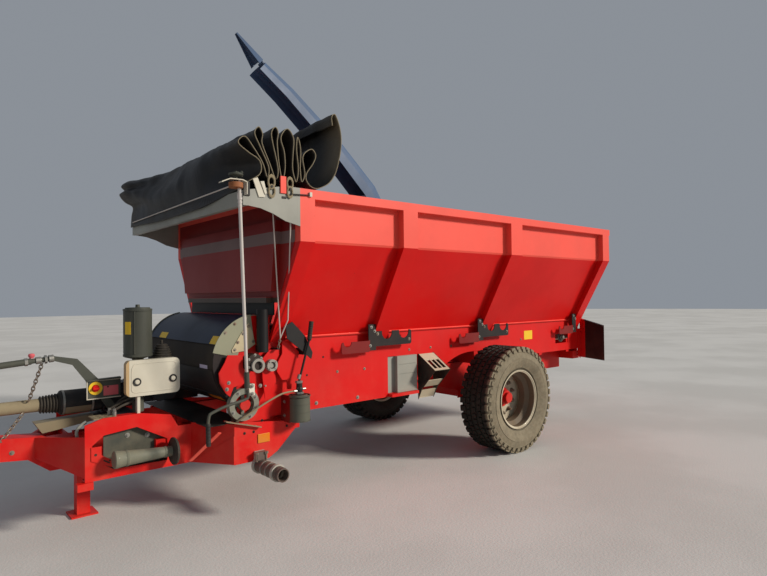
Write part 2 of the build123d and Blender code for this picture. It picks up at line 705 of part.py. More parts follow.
def channel_points(x, z, angle, width, depth, closed, inset=0):
    """Section of the spout at a station: an arched back over two sides, open below unless it is closed."""
    half = width / 2 - inset
    top = depth - inset
    low = inset if closed else -1
    arch = [(half, low)] + [(half * across, top * up) for across, up in spout_bends]
    outline = [(-y, z) for y, z in arch] + arch[::-1]
    away = math.radians(angle + 90)
    return [(x + math.cos(away) * h, -spout_y + s, z + math.sin(away) * h) for s, h in outline]


def station_face(station, closed, inset=0):
    points = channel_points(*station, closed, inset)
    return make_face(Polyline(*points, close=True))


def flap_hinge():
    """The pin's place in XZ, under the back's ridge and just past the spout's end."""
    x, z, angle, width, depth = spout_stations[-1]
    run, away = math.radians(angle), math.radians(angle + 90)
    height = depth - spout_sheet - flap_pin - 4
    return (x + math.cos(away) * height + math.cos(run) * 14, z + math.sin(away) * height + math.sin(run) * 14)


def spout():
    first = spout_stations[:3]
    rest = spout_stations[2:]
    solids = []
    for group, closed in ((first, True), (rest, False)):
        for a, b in zip(group, group[1:]):
            skin = loft([station_face(a, True), station_face(b, True)], ruled=True)
            hollow = loft([station_face(a, closed, spout_sheet), station_face(b, closed, spout_sheet)], ruled=True)
            solids.append(skin - hollow)
    foot_z = spout_stations[0][1]
    plate = box(spout_x - 165, spout_x + 165, -spout_y - 165, -spout_y + 165, foot_z - 10, foot_z)
    bore = rod((spout_x, -spout_y, foot_z - 60), (spout_x, -spout_y, foot_z + 1), duct_radius - 6)
    neck = rod((spout_x, -spout_y, ring_height + seat_gap), (spout_x, -spout_y, foot_z - 10), ring_radius - 8)
    pin_x, pin_z = flap_hinge()
    run = math.radians(spout_stations[-1][2])
    solids_at_end = []
    for side in (-1, 1):
        y = -spout_y + side * ear_half
        eye = disc_y(pin_x, pin_z, 12, y - 3, y + 3)
        back_x, back_z = pin_x - 30 * math.cos(run), pin_z - 30 * math.sin(run)
        up_x, up_z = -math.sin(run), math.cos(run)
        tab = prism("Y", [(pin_x + 10 * up_x, pin_z + 10 * up_z), (back_x + 13 * up_x, back_z + 13 * up_z),
                          (back_x - 10 * up_x, back_z - 10 * up_z), (pin_x - 10 * up_x, pin_z - 10 * up_z)],
                    y - 3, y + 3)
        solids_at_end += [eye, tab]
    shaft = disc_y(pin_x, pin_z, flap_pin, -spout_y - ear_half - 6, -spout_y + ear_half + 6)
    return joined(*solids, *solids_at_end, shaft, joined(plate, neck) - bore)


def spout_flap():
    """Tapered deflector hung on the pin at the spout's end: a channel open below, with a sleeve on a strap."""
    angle = spout_stations[-1][2]
    run, away = math.radians(angle), math.radians(angle + 90)
    pin_x, pin_z = flap_hinge()

    def at(forward, side, up):
        return (pin_x + math.cos(run) * forward + math.cos(away) * up, side - spout_y,
                pin_z + math.sin(run) * forward + math.sin(away) * up)

    def section(forward, half, depth, inset, low):
        top = flap_pin + 8 - inset
        outline = [(-half, -depth), (-half, top - 0.3 * half), (-half * 0.6, top), (half * 0.6, top),
                   (half, top - 0.3 * half), (half, -depth)]
        if low:
            outline = [(y, -depth - 5) if z == -depth else (y, z) for y, z in outline]
        return make_face(Polyline(*[at(forward, y, z) for y, z in outline], close=True))

    skin = loft([section(26, flap_half, flap_depth, 0, False),
                 section(flap_length, flap_tip_half, flap_tip_depth, 0, False)], ruled=True)
    hollow = loft([section(25.9, flap_half - spout_sheet, flap_depth, spout_sheet, True),
                   section(flap_length + 0.1, flap_tip_half - spout_sheet, flap_tip_depth, spout_sheet, True)],
                  ruled=True)
    strap_half = ear_half - 8
    strap = prism("Y", [(at(0, 0, z)[0], at(0, 0, z)[2]) for z in (flap_pin + 1, flap_pin + 5)]
                  + [(at(40, 0, z)[0], at(40, 0, z)[2]) for z in (flap_pin + 6, flap_pin + 2)],
                  -spout_y - strap_half, -spout_y + strap_half)
    sleeve = disc_y(pin_x, pin_z, flap_pin + 5, -spout_y - strap_half, -spout_y + strap_half)
    bore = disc_y(pin_x, pin_z, flap_pin + running_clearance, -spout_y - strap_half, -spout_y + strap_half)
    return joined(skin - hollow, strap, sleeve) - bore


# Services

def pto_shaft():
    start, fork = gearbox_front + seat_gap, shaft_end - 140
    bar = rod((start, 0, shaft_z), (fork, 0, shaft_z), shaft_radius)
    yoke = box(fork, fork + 60, -42, 42, shaft_z - 12, shaft_z + 12)
    yoke = yoke + rod((fork + 50, 0, shaft_z), (shaft_end, 0, shaft_z), 34)
    hole = rod((shaft_end - 75, 0, shaft_z), (shaft_end + 1, 0, shaft_z), 17.5)
    return joined(bar, yoke) - hole


def pto_guard():
    """Guard tube, ribbed bellows and the wide guard at the gearbox, turned in one outline."""
    bore = shaft_radius + 6
    start = gearbox_front + seat_gap
    outline = [(start, cup_radius), (3912, cup_radius), (3918, cup_radius - 8)]
    for i in range(5):
        outline += [(3922 + 24 * i, 48), (3934 + 24 * i, 68 - 4 * i)]
    outline += [(4044, 48), (4050, guard_radius), (shaft_end - 180, guard_radius), (shaft_end - 180, bore), (3912, bore),
                (3904, cup_radius - 8), (start, cup_radius - 8)]
    face = make_face(Polyline(*[(x, 0, shaft_z + r) for x, r in outline], close=True))
    return revolve(face, Axis((0, 0, shaft_z), (1, 0, 0)))


def gearbox():
    """Drive gearbox on its cross plate, the angle drive behind it and the wedge-shaped stop under the guard."""
    end = side_frame_offset - side_sheet - flange_reach
    top = side_frame_top
    plate = box(3480, gearbox_front - 10, -end, end, top - 12, top)
    case = box(gearbox_front - 240, gearbox_front, -110, 110, top, shaft_z + 115)
    case = chamfer(case.edges().filter_by(Axis.X), 26)
    rear = box(gearbox_front - 540, gearbox_front - 240, -130, 130, shaft_z - 50, shaft_z + 85)
    rear = chamfer(rear.edges().filter_by(Axis.Y), 30)
    cap = rod((3250, -190, shaft_z + 15), (3250, 190, shaft_z + 15), 62)
    stop = prism("Y", [(3560, top - 12), (gearbox_front - 12, top - 12), (gearbox_front, top - 28), (4080, 724),
                       (4034, 650), (3891, 668), (3560, 712)], -60, 60)
    return joined(plate, case, rear, cap, stop)


def tower():
    """Lubricant tower beside the gearbox, on its post."""
    x, y = 3468, 350
    outline = [(0, side_frame_top), (40, side_frame_top), (40, 1160), (92, 1175), (96, 1190), (96, 1510),
               (84, 1538), (16, 1540), (14, 1560), (0, 1560)]
    face = make_face(Polyline(*[(x + r, y, z) for r, z in outline], close=True))
    return revolve(face, Axis((x, y, 0), (0, 0, 1)))


def valve_cover():
    """Moulded cover over the valves, standing on a shelf at the side frame's top."""
    body = box(3196, 3582, 400, 455, 898, 1158)
    body = fillet(body.edges().filter_by(Axis.Y), 36)
    shelf = box(3480, 3500, 400, side_frame_offset - side_sheet, side_frame_top, 899)
    return joined(body, shelf)


def isolator():
    """Switch panel on a slanted foot, with the folded arm above it and the bar that carries the drive shaft."""
    y0, y1 = 238, 252
    panel = prism("Y", [(3564, 885), (3785, 880), (3792, 1012), (3560, 1018)], y0, y1)
    frame = prism("Y", [(3560, 1018), (3792, 1012), (3792, 1022), (3560, 1028)], y0 - 14, y1 + 14)
    foot = prism("Y", [(3695, 884), (3636, 884), (3560, side_frame_top), (3628, side_frame_top)], y0 - 30, y0)
    arm = prism("Y", [(3704, 1016), (3794, 1016), (3880, 1139), (4006, 1180), (4002, 1212), (3848, 1180)],
                y0, y0 + 10)
    bar = rod((3990, y0 - 6, 1196), (4400, y0 - 6, 1160), 17)
    return joined(panel, frame, foot, arm, bar)


def stowed_cylinder():
    """Round reservoir stowed along the side frame, on its bracket."""
    y = side_frame_offset + cylinder_disc + seat_gap
    bracket = box(3560, 3620, side_frame_offset, y, 380, 452)
    body = rod((3290, y, 484), (3690, y, 474), 44)
    disc = rod((3266, y, 484), (3290, y, 484), cylinder_disc)
    return joined(body, disc, bracket)


def crank():
    """Cover's crank: the gear on the header, the long tube down from it, the bent arm and the grip."""
    y = hopper_half_width
    grip_y = ledge_half_width + 188
    bar = rod((3077, y + 30, 2400), (2868, grip_y, 940), crank_radius)
    sleeve = rod((2878, grip_y + 4, 1010), (2862, grip_y, 900), crank_radius + 7)
    arm = bent_rod([(2862, grip_y, 906), (2850, grip_y, 868), (2868, grip_y, 856), (3031, grip_y, 829),
                    (3146, grip_y, 790), (3164, grip_y, 776), (3170, grip_y, 715)], 11)
    grip = rod((3170, grip_y, 720), (3167, grip_y, 562), 17)
    head = rod((3082, y + 30, 2320), (3082, y + 30, 2450), 45)
    gear = rod((3082, y + 30, 2372), (3082, y + 30, 2400), 62)
    bracket = box(visor_front, 3120, y - 30, y + 50, 2310, 2330)
    return joined(bar, sleeve, arm, grip, head, gear, bracket)


def tool_box():
    """Moulded box set into the skirt, with two lid lines and a darker pocket ahead of it."""
    x0, x1, z0, z1 = box_opening
    near = ledge_half_width
    body = box(x0, 1240, near - 60, near + 34, z0, z1)
    lines = [box(x0 + 20, 1222, near + 30, near + 35, z, z + 6) for z in (860, 950)]
    pocket = box(1240, x1, near - 60, near - 12, z0, z1)
    return joined(body, pocket) - joined(*lines)


def step():
    """Slotted steps between two side plates, folded out below the ledge."""
    near = ledge_half_width
    plates = [prism("X", [(near + out, z) for out, z in step_profile], x, x + step_sheet)
              for x in (step_rear, step_front - step_sheet)]
    sheets = []
    for start, high, end, low in treads:
        along = math.hypot(end - start, low - high)
        ny, nz = (low - high) / along * step_sheet, -(end - start) / along * step_sheet
        line = [(near + start, high), (near + end, low), (near + end + ny, low + nz), (near + start + ny, high + nz)]
        sheets.append(prism("X", line, step_rear, step_front))
    slots = [box(x, x + 44, near + 90, near + 205, 800, 1100) for x in (750, 809, 868)]
    rail = box(step_rear, step_front, near, near + 12, 1000, 1030)
    back = box(step_rear, step_front, near, near + 8, 600, 640)
    return joined(*plates, joined(*sheets) - joined(*slots), rail, back)


def tool_tray():
    """Red tray under the tool box's opening."""
    return box(box_opening[0], box_opening[1], ledge_half_width, ledge_half_width + 60, 662, 690)


def grease_can():
    """Can with its pump and lever, and the folded bracket behind the lever."""
    x, y, near = 2388, can_y, ledge_half_width
    outline = [(0, 618), (can_radius - 6, 618), (can_radius, 628), (can_radius, 800), (60, 826), (26, 834),
               (24, 930), (0, 930)]
    can = revolve(make_face(Polyline(*[(x + r, y, z) for r, z in outline], close=True)), Axis((x, y, 0), (0, 0, 1)))
    lever = rod((x + 12, y, 900), (2289, y, 1262), 9)
    grip = rod((2292, y, 1250), (2268, y, 1404), 17)
    strap = box(2360, 2420, near, y, 690, 720)
    plate_y = near + 110
    plate = prism("Y", [(2495, 1378), (2436, 1406), (2317, 1288), (2245, 1148), (2258, 1097), (2343, 1166),
                        (2484, 1277)], plate_y, plate_y + 8)
    stay = box(2290, 2330, near, plate_y, 1135, 1185)
    return joined(can, lever, grip, strap, plate, stay)


def hose_coupling():
    """Pipe stub under the front frame, with its clamp rings and the saddle on the frame's side plate."""
    half, x, z = front_frame_half, pipe_stub_x, pipe_stub_z
    radius, end = pipe_stub_radius, pipe_stub_end
    pipe = rod((x, half, z), (x, end - 30, z), radius + 3, radius - 8)
    mouth = rod((x, end - 30, z), (x, end, z), radius, radius - 8)
    rings = [rod((x, y, z), (x, y + 26, z), radius + 13, radius + 2) for y in (half, end - 96)]
    saddle = box(x - 40, x + 40, half, half + 60, z + radius - 2, z + radius + 60)
    bore = rod((x, half, z), (x, end, z), radius - 8)
    return joined(pipe, mouth, *rings, saddle) - bore


def hooks():
    """Flat plates bolted to the posts, with two notches behind and a hook ahead, that carry loose tools."""
    y, sheet_of_hook = ledge_half_width + post_belly + 12, 8
    low, high = ledge_height - 124, ledge_height + 11
    solids = []
    for (rear, front), width in zip(posts, post_widths):
        face = (rear + front) / 2 + width / 2
        tab = box(face, face + 84, y, y + sheet_of_hook, low - 33, high + 65)
        ahead = box(face + 70, face + 385, y, y + sheet_of_hook, low - 45, low + 55)
        ahead = fillet(ahead.edges().filter_by(Axis.Y), 22) - disc_y(face + 318, low + 55, 43, y - 1, y + 20)
        solids += [tab, ahead]
        if rear > hopper_rear:
            behind = box(face - 440, face + 30, y, y + sheet_of_hook, low, high)
            behind = fillet(behind.edges().filter_by(Axis.Y), 22)
            for notch in (135, 345):
                behind = behind - disc_y(face - notch, high - 13, 62, y - 1, y + 20)
            solids.append(behind)
    return joined(*solids)


# Cover: line of its folds at the left end, ahead of the hopper's front and above the rim, from its front hem
# columns: ahead, above; then the change of both at the right end
cover_line = [(458, -53, -3, 0), (410, 67, 45, 30), (475, 252, 105, -25), (360, 367, 125, -15),
              (305, 277, 10, -30), (245, 412, 10, -70), (175, 257, 10, -40), (115, 417, 10, -80),
              (45, 237, 10, -40), (-15, 367, 10, -70), (-75, 157, 0, -30), (-175, 0.3, 0, 0), (-285, 77, 0, -20),
              (-385, 277, 0, -60), (-397, 477, 0, -90), (-360, 609, 0, -97), (-307, 547, -6, -90)]
cover_sheet = 8


def tarp():
    """Gathered cover: one thick folded sheet from the header back over the hopper."""
    def profile(share):
        return [(hopper_front + x + dx * share, rim_top + z + dz * share) for x, z, dx, dz in cover_line]
    near, far = hopper_half_width - 30, 20 - hopper_half_width
    faces = []
    for share, y in ((1, far), (0, near)):
        faces.append(make_face(Polyline(*[(x, y, z) for x, z in folded(profile(share), cover_sheet)], close=True)))
    return loft(faces, ruled=True)


def make_wheel(solid, side):
    if side > 0:
        return Pos(0, wheel_offset, axle_height) * solid
    return Pos(0, -wheel_offset, axle_height) * mirror(solid, about=Plane.XZ)


def main():
    os.makedirs("parts", exist_ok=True)
    tyre_solid, rim_solid, hub_solid = tyre(), rim(), hub()
    side = hopper_side()
    post = side_posts()
    shelves = joined(*duct_shelves())
    nodes = {
        "chassis_rails": chassis(),
        "cross_members": cross_members(),
        "axle": axle(),
        "front_frame": front_frame(),
        "drawbar": drawbar(),
        "towing_eye": towing_eye(),
        "parking_leg": parking_leg(),
        "hopper_side_left": side,
        "hopper_side_right": mirror(side, about=Plane.XZ),
        "posts_left": joined(post, tool_tray()),
        "posts_right": mirror(joined(post, shelves), about=Plane.XZ),
        "rims": rims(),
        "front_wall": front_wall(),
        "deck": deck(),
        "floor_chain": floor_chain(),
        "tailgate": tailgate(),
        "rear_frame": rear_frame(),
        "rear_lamps": rear_lamps(),
        "visor": visor(),
        "beater": beater(),
        "rotor": rotor(),
        "hood": hood(),
        "rotor_housing": rotor_housing(),
        "motors": motors(),
        "fan": fan(),
        "duct": duct(),
        "spout": spout(),
        "spout_flap": spout_flap(),
        "drive_shaft": pto_shaft(),
        "shaft_guard": pto_guard(),
        "gearbox": gearbox(),
        "tower": tower(),
        "valve_cover": valve_cover(),
        "isolator": isolator(),
        "stowed_cylinder": stowed_cylinder(),
        "tarp_crank": crank(),
        "tool_box": tool_box(),
        "step": step(),
        "grease_can": grease_can(),
        "hose_coupling": hose_coupling(),
        "hooks": hooks(),
        "tarp": tarp(),
    }
    for name, solid in (("tyre", tyre_solid), ("rim", rim_solid), ("hub", hub_solid)):
        nodes[name + "_left"] = make_wheel(solid, 1)
        nodes[name + "_right"] = make_wheel(solid, -1)
    to_eye = Pos(-eye_x, 0, -eye_height)
    for name, solid in nodes.items():
        export_step(to_eye * solid, f"parts/{name}.step")


main()
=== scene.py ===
import json
import math
import random

import bmesh
import bpy
from mathutils import Matrix, Vector, noise


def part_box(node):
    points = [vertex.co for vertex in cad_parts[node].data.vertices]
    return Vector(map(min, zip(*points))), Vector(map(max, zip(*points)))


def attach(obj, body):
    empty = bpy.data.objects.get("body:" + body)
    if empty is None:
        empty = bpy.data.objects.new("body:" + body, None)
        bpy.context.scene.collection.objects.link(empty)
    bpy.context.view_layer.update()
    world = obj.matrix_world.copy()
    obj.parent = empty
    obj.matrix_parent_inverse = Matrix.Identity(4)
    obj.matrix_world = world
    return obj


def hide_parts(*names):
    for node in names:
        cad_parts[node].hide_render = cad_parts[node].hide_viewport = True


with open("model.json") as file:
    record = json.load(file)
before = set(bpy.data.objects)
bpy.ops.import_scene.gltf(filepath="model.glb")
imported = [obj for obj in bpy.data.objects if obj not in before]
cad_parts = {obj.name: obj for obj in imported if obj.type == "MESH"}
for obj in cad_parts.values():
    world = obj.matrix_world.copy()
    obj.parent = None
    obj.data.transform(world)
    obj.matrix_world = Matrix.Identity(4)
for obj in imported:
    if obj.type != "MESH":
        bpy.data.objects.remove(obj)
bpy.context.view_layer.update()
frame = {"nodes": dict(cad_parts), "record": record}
nodes = frame["nodes"]
scene = bpy.context.scene
print("frame loaded,", len(nodes), "nodes")

# places are read off in metres ahead of the axle, left of the middle and above the ground
tyreLow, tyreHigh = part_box("tyre_left")
wheelLine = (tyreLow[0] + tyreHigh[0]) / 2
ground = tyreLow[2]
origin = Vector((wheelLine, 0, ground))


def at(x, y, z):
    return origin + Vector((x, y, z))


cameraLook = {
    "place": (4.846, 4.739, 1.598),
    "yaw": -130.78,
    "pitch": 0.864,
    "roll": -0.639,
    "lens": 26.75,
    "sensor": 36.0,
}


def makeCamera(look):
    data = bpy.data.cameras.new("camera")
    data.lens = look["lens"]
    data.sensor_width = look["sensor"]
    data.clip_end = 200
    camera = bpy.data.objects.new("camera", data)
    scene.collection.objects.link(camera)
    turn = Matrix.Rotation(math.radians(look["yaw"] - 90), 4, "Z")
    lift = Matrix.Rotation(math.radians(90 + look["pitch"]), 4, "X")
    roll = Matrix.Rotation(math.radians(look["roll"]), 4, "Z")
    camera.matrix_world = Matrix.Translation(at(*look["place"])) @ turn @ lift @ roll
    scene.camera = camera


makeCamera(cameraLook)

stageLook = {
    "towardKey": (-0.56, 0.72, 0.42),
    "keyStrength": 3.6,
    "keyColour": (1.0, 0.93, 0.82),
    "keyAngle": 9,
    "fill": (0.78, 0.85, 0.95),
    "fillStrength": 0.33,
    "floorSize": 60,
    "floorPale": (0.62, 0.61, 0.59, 1),
    "floorShade": (0.54, 0.53, 0.51, 1),
}


class Wire:  # a node's output that can stand in a sum
    def __init__(self, paint, socket):
        self.paint = paint
        self.socket = socket

    def math(self, operation, other, swapped=False):
        first, second = (other, self) if swapped else (self, other)
        return self.paint.node("ShaderNodeMath", {"operation": operation}, {0: first, 1: second})

    def __add__(self, other):
        return self.math("ADD", other)

    def __sub__(self, other):
        return self.math("SUBTRACT", other)

    def __mul__(self, other):
        return self.math("MULTIPLY", other)

    def __rsub__(self, other):
        return self.math("SUBTRACT", other, True)


class Paint:  # one material and the nodes that make it
    def __init__(self, name):
        self.material = bpy.data.materials.new(name)
        self.material.use_nodes = True
        self.tree = self.material.node_tree
        self.shader = self.tree.nodes["Principled BSDF"]
        self.place = self.node("ShaderNodeTexCoord", {}, {}, "Object")

    def node(self, kind, settings, sockets, output=0):
        made = self.tree.nodes.new(kind)
        for name, value in settings.items():
            setattr(made, name, value)
        for socket, value in sockets.items():
            self.feed(made.inputs[socket], value)
        return Wire(self, made.outputs[output])

    def feed(self, socket, value):
        if isinstance(value, Wire):
            self.tree.links.new(value.socket, socket)
        else:
            socket.default_value = value

    def stretched(self, scale):
        return self.node("ShaderNodeMapping", {}, {"Vector": self.place, "Scale": scale})

    def cloud(self, scale, detail=4.0, rough=0.55, place=None):
        sockets = {"Vector": place or self.place, "Scale": scale, "Detail": detail, "Roughness": rough}
        return self.node("ShaderNodeTexNoise", {}, sockets)

    def step(self, wire, low, high):
        sockets = {"Value": wire, "From Min": low, "From Max": high}
        return self.node("ShaderNodeMapRange", {"interpolation_type": "SMOOTHSTEP"}, sockets)

    def blend(self, factor, first, second):
        return self.node("ShaderNodeMix", {"data_type": "RGBA"}, {0: factor, 6: first, 7: second}, 2)

    def height(self):
        return self.node("ShaderNodeSeparateXYZ", {}, {0: self.place}, "Z") - ground

    def slice(self, axis, low, high):
        along = self.node("ShaderNodeSeparateXYZ", {}, {0: self.place}, axis)
        half = (high - low) / 2
        return self.node("ShaderNodeMath", {"operation": "COMPARE"}, {0: along, 1: low + half, 2: half})

    def inside(self, low, high):  # 1 inside a box, whose corners are given as at() takes them
        low, high = at(*low), at(*high)
        level = self.slice("X", low.x, high.x) * self.slice("Y", low.y, high.y)
        return level * self.slice("Z", low.z, high.z)

    def finish(self, colour, rough, metal=0.0, bump=None, bumpDepth=0.001, coat=0.0, shine=0.5):
        self.shader.inputs["Specular IOR Level"].default_value = shine
        self.feed(self.shader.inputs["Base Color"], colour)
        self.feed(self.shader.inputs["Roughness"], rough)
        self.feed(self.shader.inputs["Metallic"], metal)
        self.feed(self.shader.inputs["Coat Weight"], coat)
        if bump:
            sockets = {"Strength": 1.0, "Distance": bumpDepth, "Height": bump}
            self.feed(self.shader.inputs["Normal"], self.node("ShaderNodeBump", {}, sockets, "Normal"))
        return self.material


def colour(red, green, blue):  # screen values, 0 to 255, as a paint chart gives them
    def linear(part):
        part = part / 255
        return part / 12.92 if part < 0.04045 else ((part + 0.055) / 1.055) ** 2.4
    return (linear(red), linear(green), linear(blue), 1)


def makeStage(look):
    key = bpy.data.lights.new("key", "SUN")
    key.energy = look["keyStrength"]
    key.color = look["keyColour"]
    key.angle = math.radians(look["keyAngle"])
    lamp = bpy.data.objects.new("key", key)
    lamp.matrix_world = Vector(look["towardKey"]).to_track_quat("Z", "Y").to_matrix().to_4x4()
    scene.collection.objects.link(lamp)
    world = bpy.data.worlds.new("studio")
    world.use_nodes = True
    background = world.node_tree.nodes["Background"]
    background.inputs["Color"].default_value = (*look["fill"], 1)
    background.inputs["Strength"].default_value = look["fillStrength"]
    scene.world = world
    bm = bmesh.new()
    bmesh.ops.create_circle(bm, cap_ends=True, segments=96, radius=look["floorSize"])
    mesh = bpy.data.meshes.new("floor")
    bm.to_mesh(mesh)
    bm.free()
    mesh.transform(Matrix.Translation(origin))
    floor = bpy.data.objects.new("floor", mesh)
    scene.collection.objects.link(floor)
    paint = Paint("floor")
    patches = paint.step(paint.cloud(0.6, 6), 0.35, 0.65)
    grit = paint.cloud(60, 3)
    tint = paint.blend(patches, look["floorPale"], look["floorShade"])
    mesh.materials.append(paint.finish(tint, 0.85, bump=grit, bumpDepth=0.002))


scene.view_settings.view_transform = "Standard"
makeStage(stageLook)
print("camera, light and floor ready")

# Paints, with colours as screen values from 0 to 255

# painted sunlight: a lighter red for red faces the sun lights (upper hopper, ledges, tab, lips)
sunRed = (236, 84, 70)
mudTan = (134, 122, 98)
brightSteel = (150, 146, 138)
# painted shade: very dark red for the rear board's ends, which face ahead into shade
boardPaintedShade = (44, 20, 19)
# painted shade: dark red for the hooks' red plates, which lie in shade
paintedShadeRed = (120, 8, 10)
# the blower housing's inside: its black paint and painted shade in one colour
housingBlackAndShade = (30, 28, 30)
stubBand = (176, 172, 162)
cheekGrey = (142, 142, 120)
# the rim's well: darker brown, partly dust and partly painted shade in the recess
wellDustAndShade = (112, 98, 82)
stepBlack = (30, 28, 28)
plainRed = ((208, 8, 6), (188, 12, 10), (190, 120, 96), 0.42, 0.3, 1.1, 0.24)

enamelParts = ("base", "worn", "dust", "rough", "dustLow", "dustHigh", "dustMost")
enamelLook = {
    "red": plainRed,
    "housing": plainRed,
    "stub": ((96, 82, 76), (72, 62, 58), (150, 138, 118), 0.5, 0.1, 0.6, 0.35),
    # painted shade: a dark red for red plates that face into shade
    "deepRed": ((120, 8, 10), (90, 10, 10), (130, 96, 76), 0.45, 0.2, 1.0, 0.4),
    # painted sunlight: red as it looks where the sun lights it
    "sunRed": (sunRed, (220, 70, 58), (230, 150, 130), 0.5, 0.2, 1.0, 0.3),
    "grey": ((150, 150, 142), (120, 120, 114), (176, 164, 140), 0.45, 0.3, 1.2, 0.3),
    "darkGrey": ((72, 74, 67), (58, 60, 55), (150, 138, 112), 0.5, 0.3, 1.3, 0.35),
    "blueGrey": ((76, 98, 130), (64, 82, 108), (160, 156, 148), 0.4, 0.4, 1.6, 0.2),
    "navy": ((20, 36, 62), (16, 26, 44), (120, 120, 116), 0.4, 0.9, 1.5, 0.12),
    "black": ((26, 25, 27), (40, 37, 36), (120, 106, 88), 0.5, 0.3, 1.3, 0.28),
    "hooks": ((22, 20, 22), (38, 30, 28), (110, 90, 74), 0.5, 0.9, 1.4, 0.2),
    "gearbox": ((30, 34, 42), (24, 26, 32), (120, 110, 92), 0.45, 0.4, 1.0, 0.4),
    "motors": ((52, 40, 36), (38, 30, 28), (130, 110, 90), 0.45, 0.5, 1.2, 0.25),
    "cream": ((202, 197, 182), (178, 170, 152), (176, 150, 118), 0.45, 0.6, 1.3, 0.3),
    "crank": ((206, 200, 196), (178, 170, 164), (150, 130, 104), 0.32, 0.7, 2.0, 0.25),
    "can": ((24, 23, 24), (36, 34, 34), (120, 106, 88), 0.5, 0.4, 1.2, 0.25),
    "step": ((196, 186, 164), (164, 152, 130), (150, 134, 104), 0.55, 0.5, 1.1, 0.4),
    "rim": ((204, 195, 174), (156, 144, 120), (132, 110, 80), 0.5, 0.2, 0.95, 0.4),
    "plastic": ((28, 28, 30), (42, 41, 42), (128, 118, 104), 0.55, 0.3, 1.4, 0.3),
    "yellow": ((232, 190, 40), (206, 164, 40), (170, 150, 110), 0.4, 0.6, 1.4, 0.2),
    "orange": ((214, 120, 18), (186, 96, 16), (170, 140, 100), 0.3, 0.4, 1.2, 0.2),
    "pink": ((206, 96, 104), (190, 78, 86), (190, 160, 140), 0.45, 0.6, 1.3, 0.3),
    "stowed": ((106, 108, 96), (84, 86, 78), (160, 150, 122), 0.5, 0.2, 1.0, 0.5),
    "lilac": ((190, 180, 206), (168, 160, 184), (160, 150, 140), 0.45, 0.6, 1.3, 0.3),
    "dusty": (mudTan, (122, 106, 84), (180, 166, 136), 0.8, 0.2, 1.5, 0.5),
    "brown": ((44, 38, 34), (32, 28, 26), (110, 98, 80), 0.75, 0.6, 1.6, 0.35),
    "drum": ((150, 92, 56), (110, 66, 44), (170, 150, 120), 0.6, 0.6, 3.0, 0.4),
    "cable": ((196, 186, 180), (170, 160, 152), (150, 140, 124), 0.5, 0.6, 3.0, 0.2),
}

# Boxes in which a paint has another colour: two corners each
zoneLook = {
    # painted sunlight: all of this red above 2.012 m is drawn in the lighter, sunlit red
    "red": (((-9, -2, 2.012), (9, 2, 9), sunRed),
            # the front wall, facing ahead: painted shade as darker reds above 2.105 m and from 1.6 to 2.012 m; a
            # greyish band between them and a dark strip at its foot
            ((2.577, -1.12, 2.105), (2.65, 1.12, 2.334), (120, 8, 8)),
            ((2.577, -1.12, 2.012), (2.65, 1.12, 2.105), (122, 98, 96)),
            ((2.577, -1.12, 1.6), (2.65, 1.12, 2.012), (138, 28, 26)),
            ((2.577, -1.12, 1.559), (2.65, 1.12, 1.6), (74, 60, 52)),
            ((2.69, 0.753, 0.598), (2.985, 0.79, 0.7), mudTan),
            ((2.69, -0.79, 0.598), (2.985, -0.753, 0.7), mudTan),
            ((3.638, 0.286, 0.764), (3.792, 0.439, 0.775), mudTan),
            # painted shade on the rear board's ends
            ((-2.056, 0.79, 0.7), (-1.94, 1.06, 1.286), boardPaintedShade),
            ((-2.056, -1.06, 0.7), (-1.94, -0.79, 1.286), boardPaintedShade)),
    # black over the housing's inside and the cheeks' fronts: black paint and painted shade together
    "housing": (((2.2, -0.7022, 0.6), (3.1, 0.7022, 1.5), housingBlackAndShade),
                ((2.86, 0.7, 0.6), (3.1, 0.7415, 1.5), housingBlackAndShade),
                ((2.86, -0.7415, 0.6), (3.1, -0.7, 1.5), housingBlackAndShade)),
    "stub": (((2.6, 1.023, 0.2), (2.8, 1.051, 0.45), stubBand),
             ((2.6, 0.751, 0.2), (2.8, 0.779, 0.45), stubBand)),
    "navy": (((2.4, 0.7115, 1.0), (3.1, 0.7188, 1.6), cheekGrey),
             ((2.4, -0.73, 1.0), (3.1, -0.7115, 1.6), cheekGrey),
             ((2.4, 0.7188, 1.0), (3.1, 0.74, 1.6), (188, 174, 142))),
    # painted shade: the hooks' red plates drawn dark red
    "hooks": (((1.609, 0.7, 1.1), (1.926, 0.8, 1.21), paintedShadeRed),
              ((0.104, 0.7, 1.1), (0.421, 0.8, 1.21), paintedShadeRed),
              ((-1.75, 0.7, 1.1), (-1.43, 0.8, 1.21), paintedShadeRed)),
    "gearbox": (((3.7, -0.2, 0.64), (4.09, 0.2, 0.745), mudTan),),
    "motors": (((2.69, 0.7, 0.66), (2.95, 0.7628, 0.92), (126, 128, 116)),
               ((2.66, 0.8085, 1.01), (2.8, 0.84, 1.15), brightSteel),
               ((2.54, 0.7, 1.01), (2.645, 0.8, 1.13), brightSteel),
               ((2.76, 0.7628, 0.74), (2.87, 0.8, 0.84), (196, 20, 16)),
               ((2.745, 0.7628, 0.852), (2.8, 0.8, 0.95), (220, 216, 202)),
               ((2.62, 0.7, 1.17), (2.73, 0.84, 1.6), (22, 21, 23))),
    "cream": (((3.56, 0.39, 0.7), (3.6, 0.47, 1.2), (180, 152, 112)),),
    "can": (((2.29, 0.75, 0.6), (2.49, 0.95, 0.827), (84, 86, 76)),),
    "step": (((0.715, 0.7, 0.5), (0.7288, 1.0, 1.1), stepBlack),
             ((0.9332, 0.7, 0.5), (0.945, 1.0, 1.1), stepBlack)),
    # the rim's well: darker brown, dust and painted shade in the recess
    "rim": (((-0.35, 1.03, 0.2), (0.35, 1.205, 0.9), wellDustAndShade),
            ((-0.35, -1.205, 0.2), (0.35, -1.03, 0.9), wellDustAndShade)),
    "plastic": (((4.0445, -0.06, 0.78), (4.61, 0.06, 0.92), mudTan),),
}


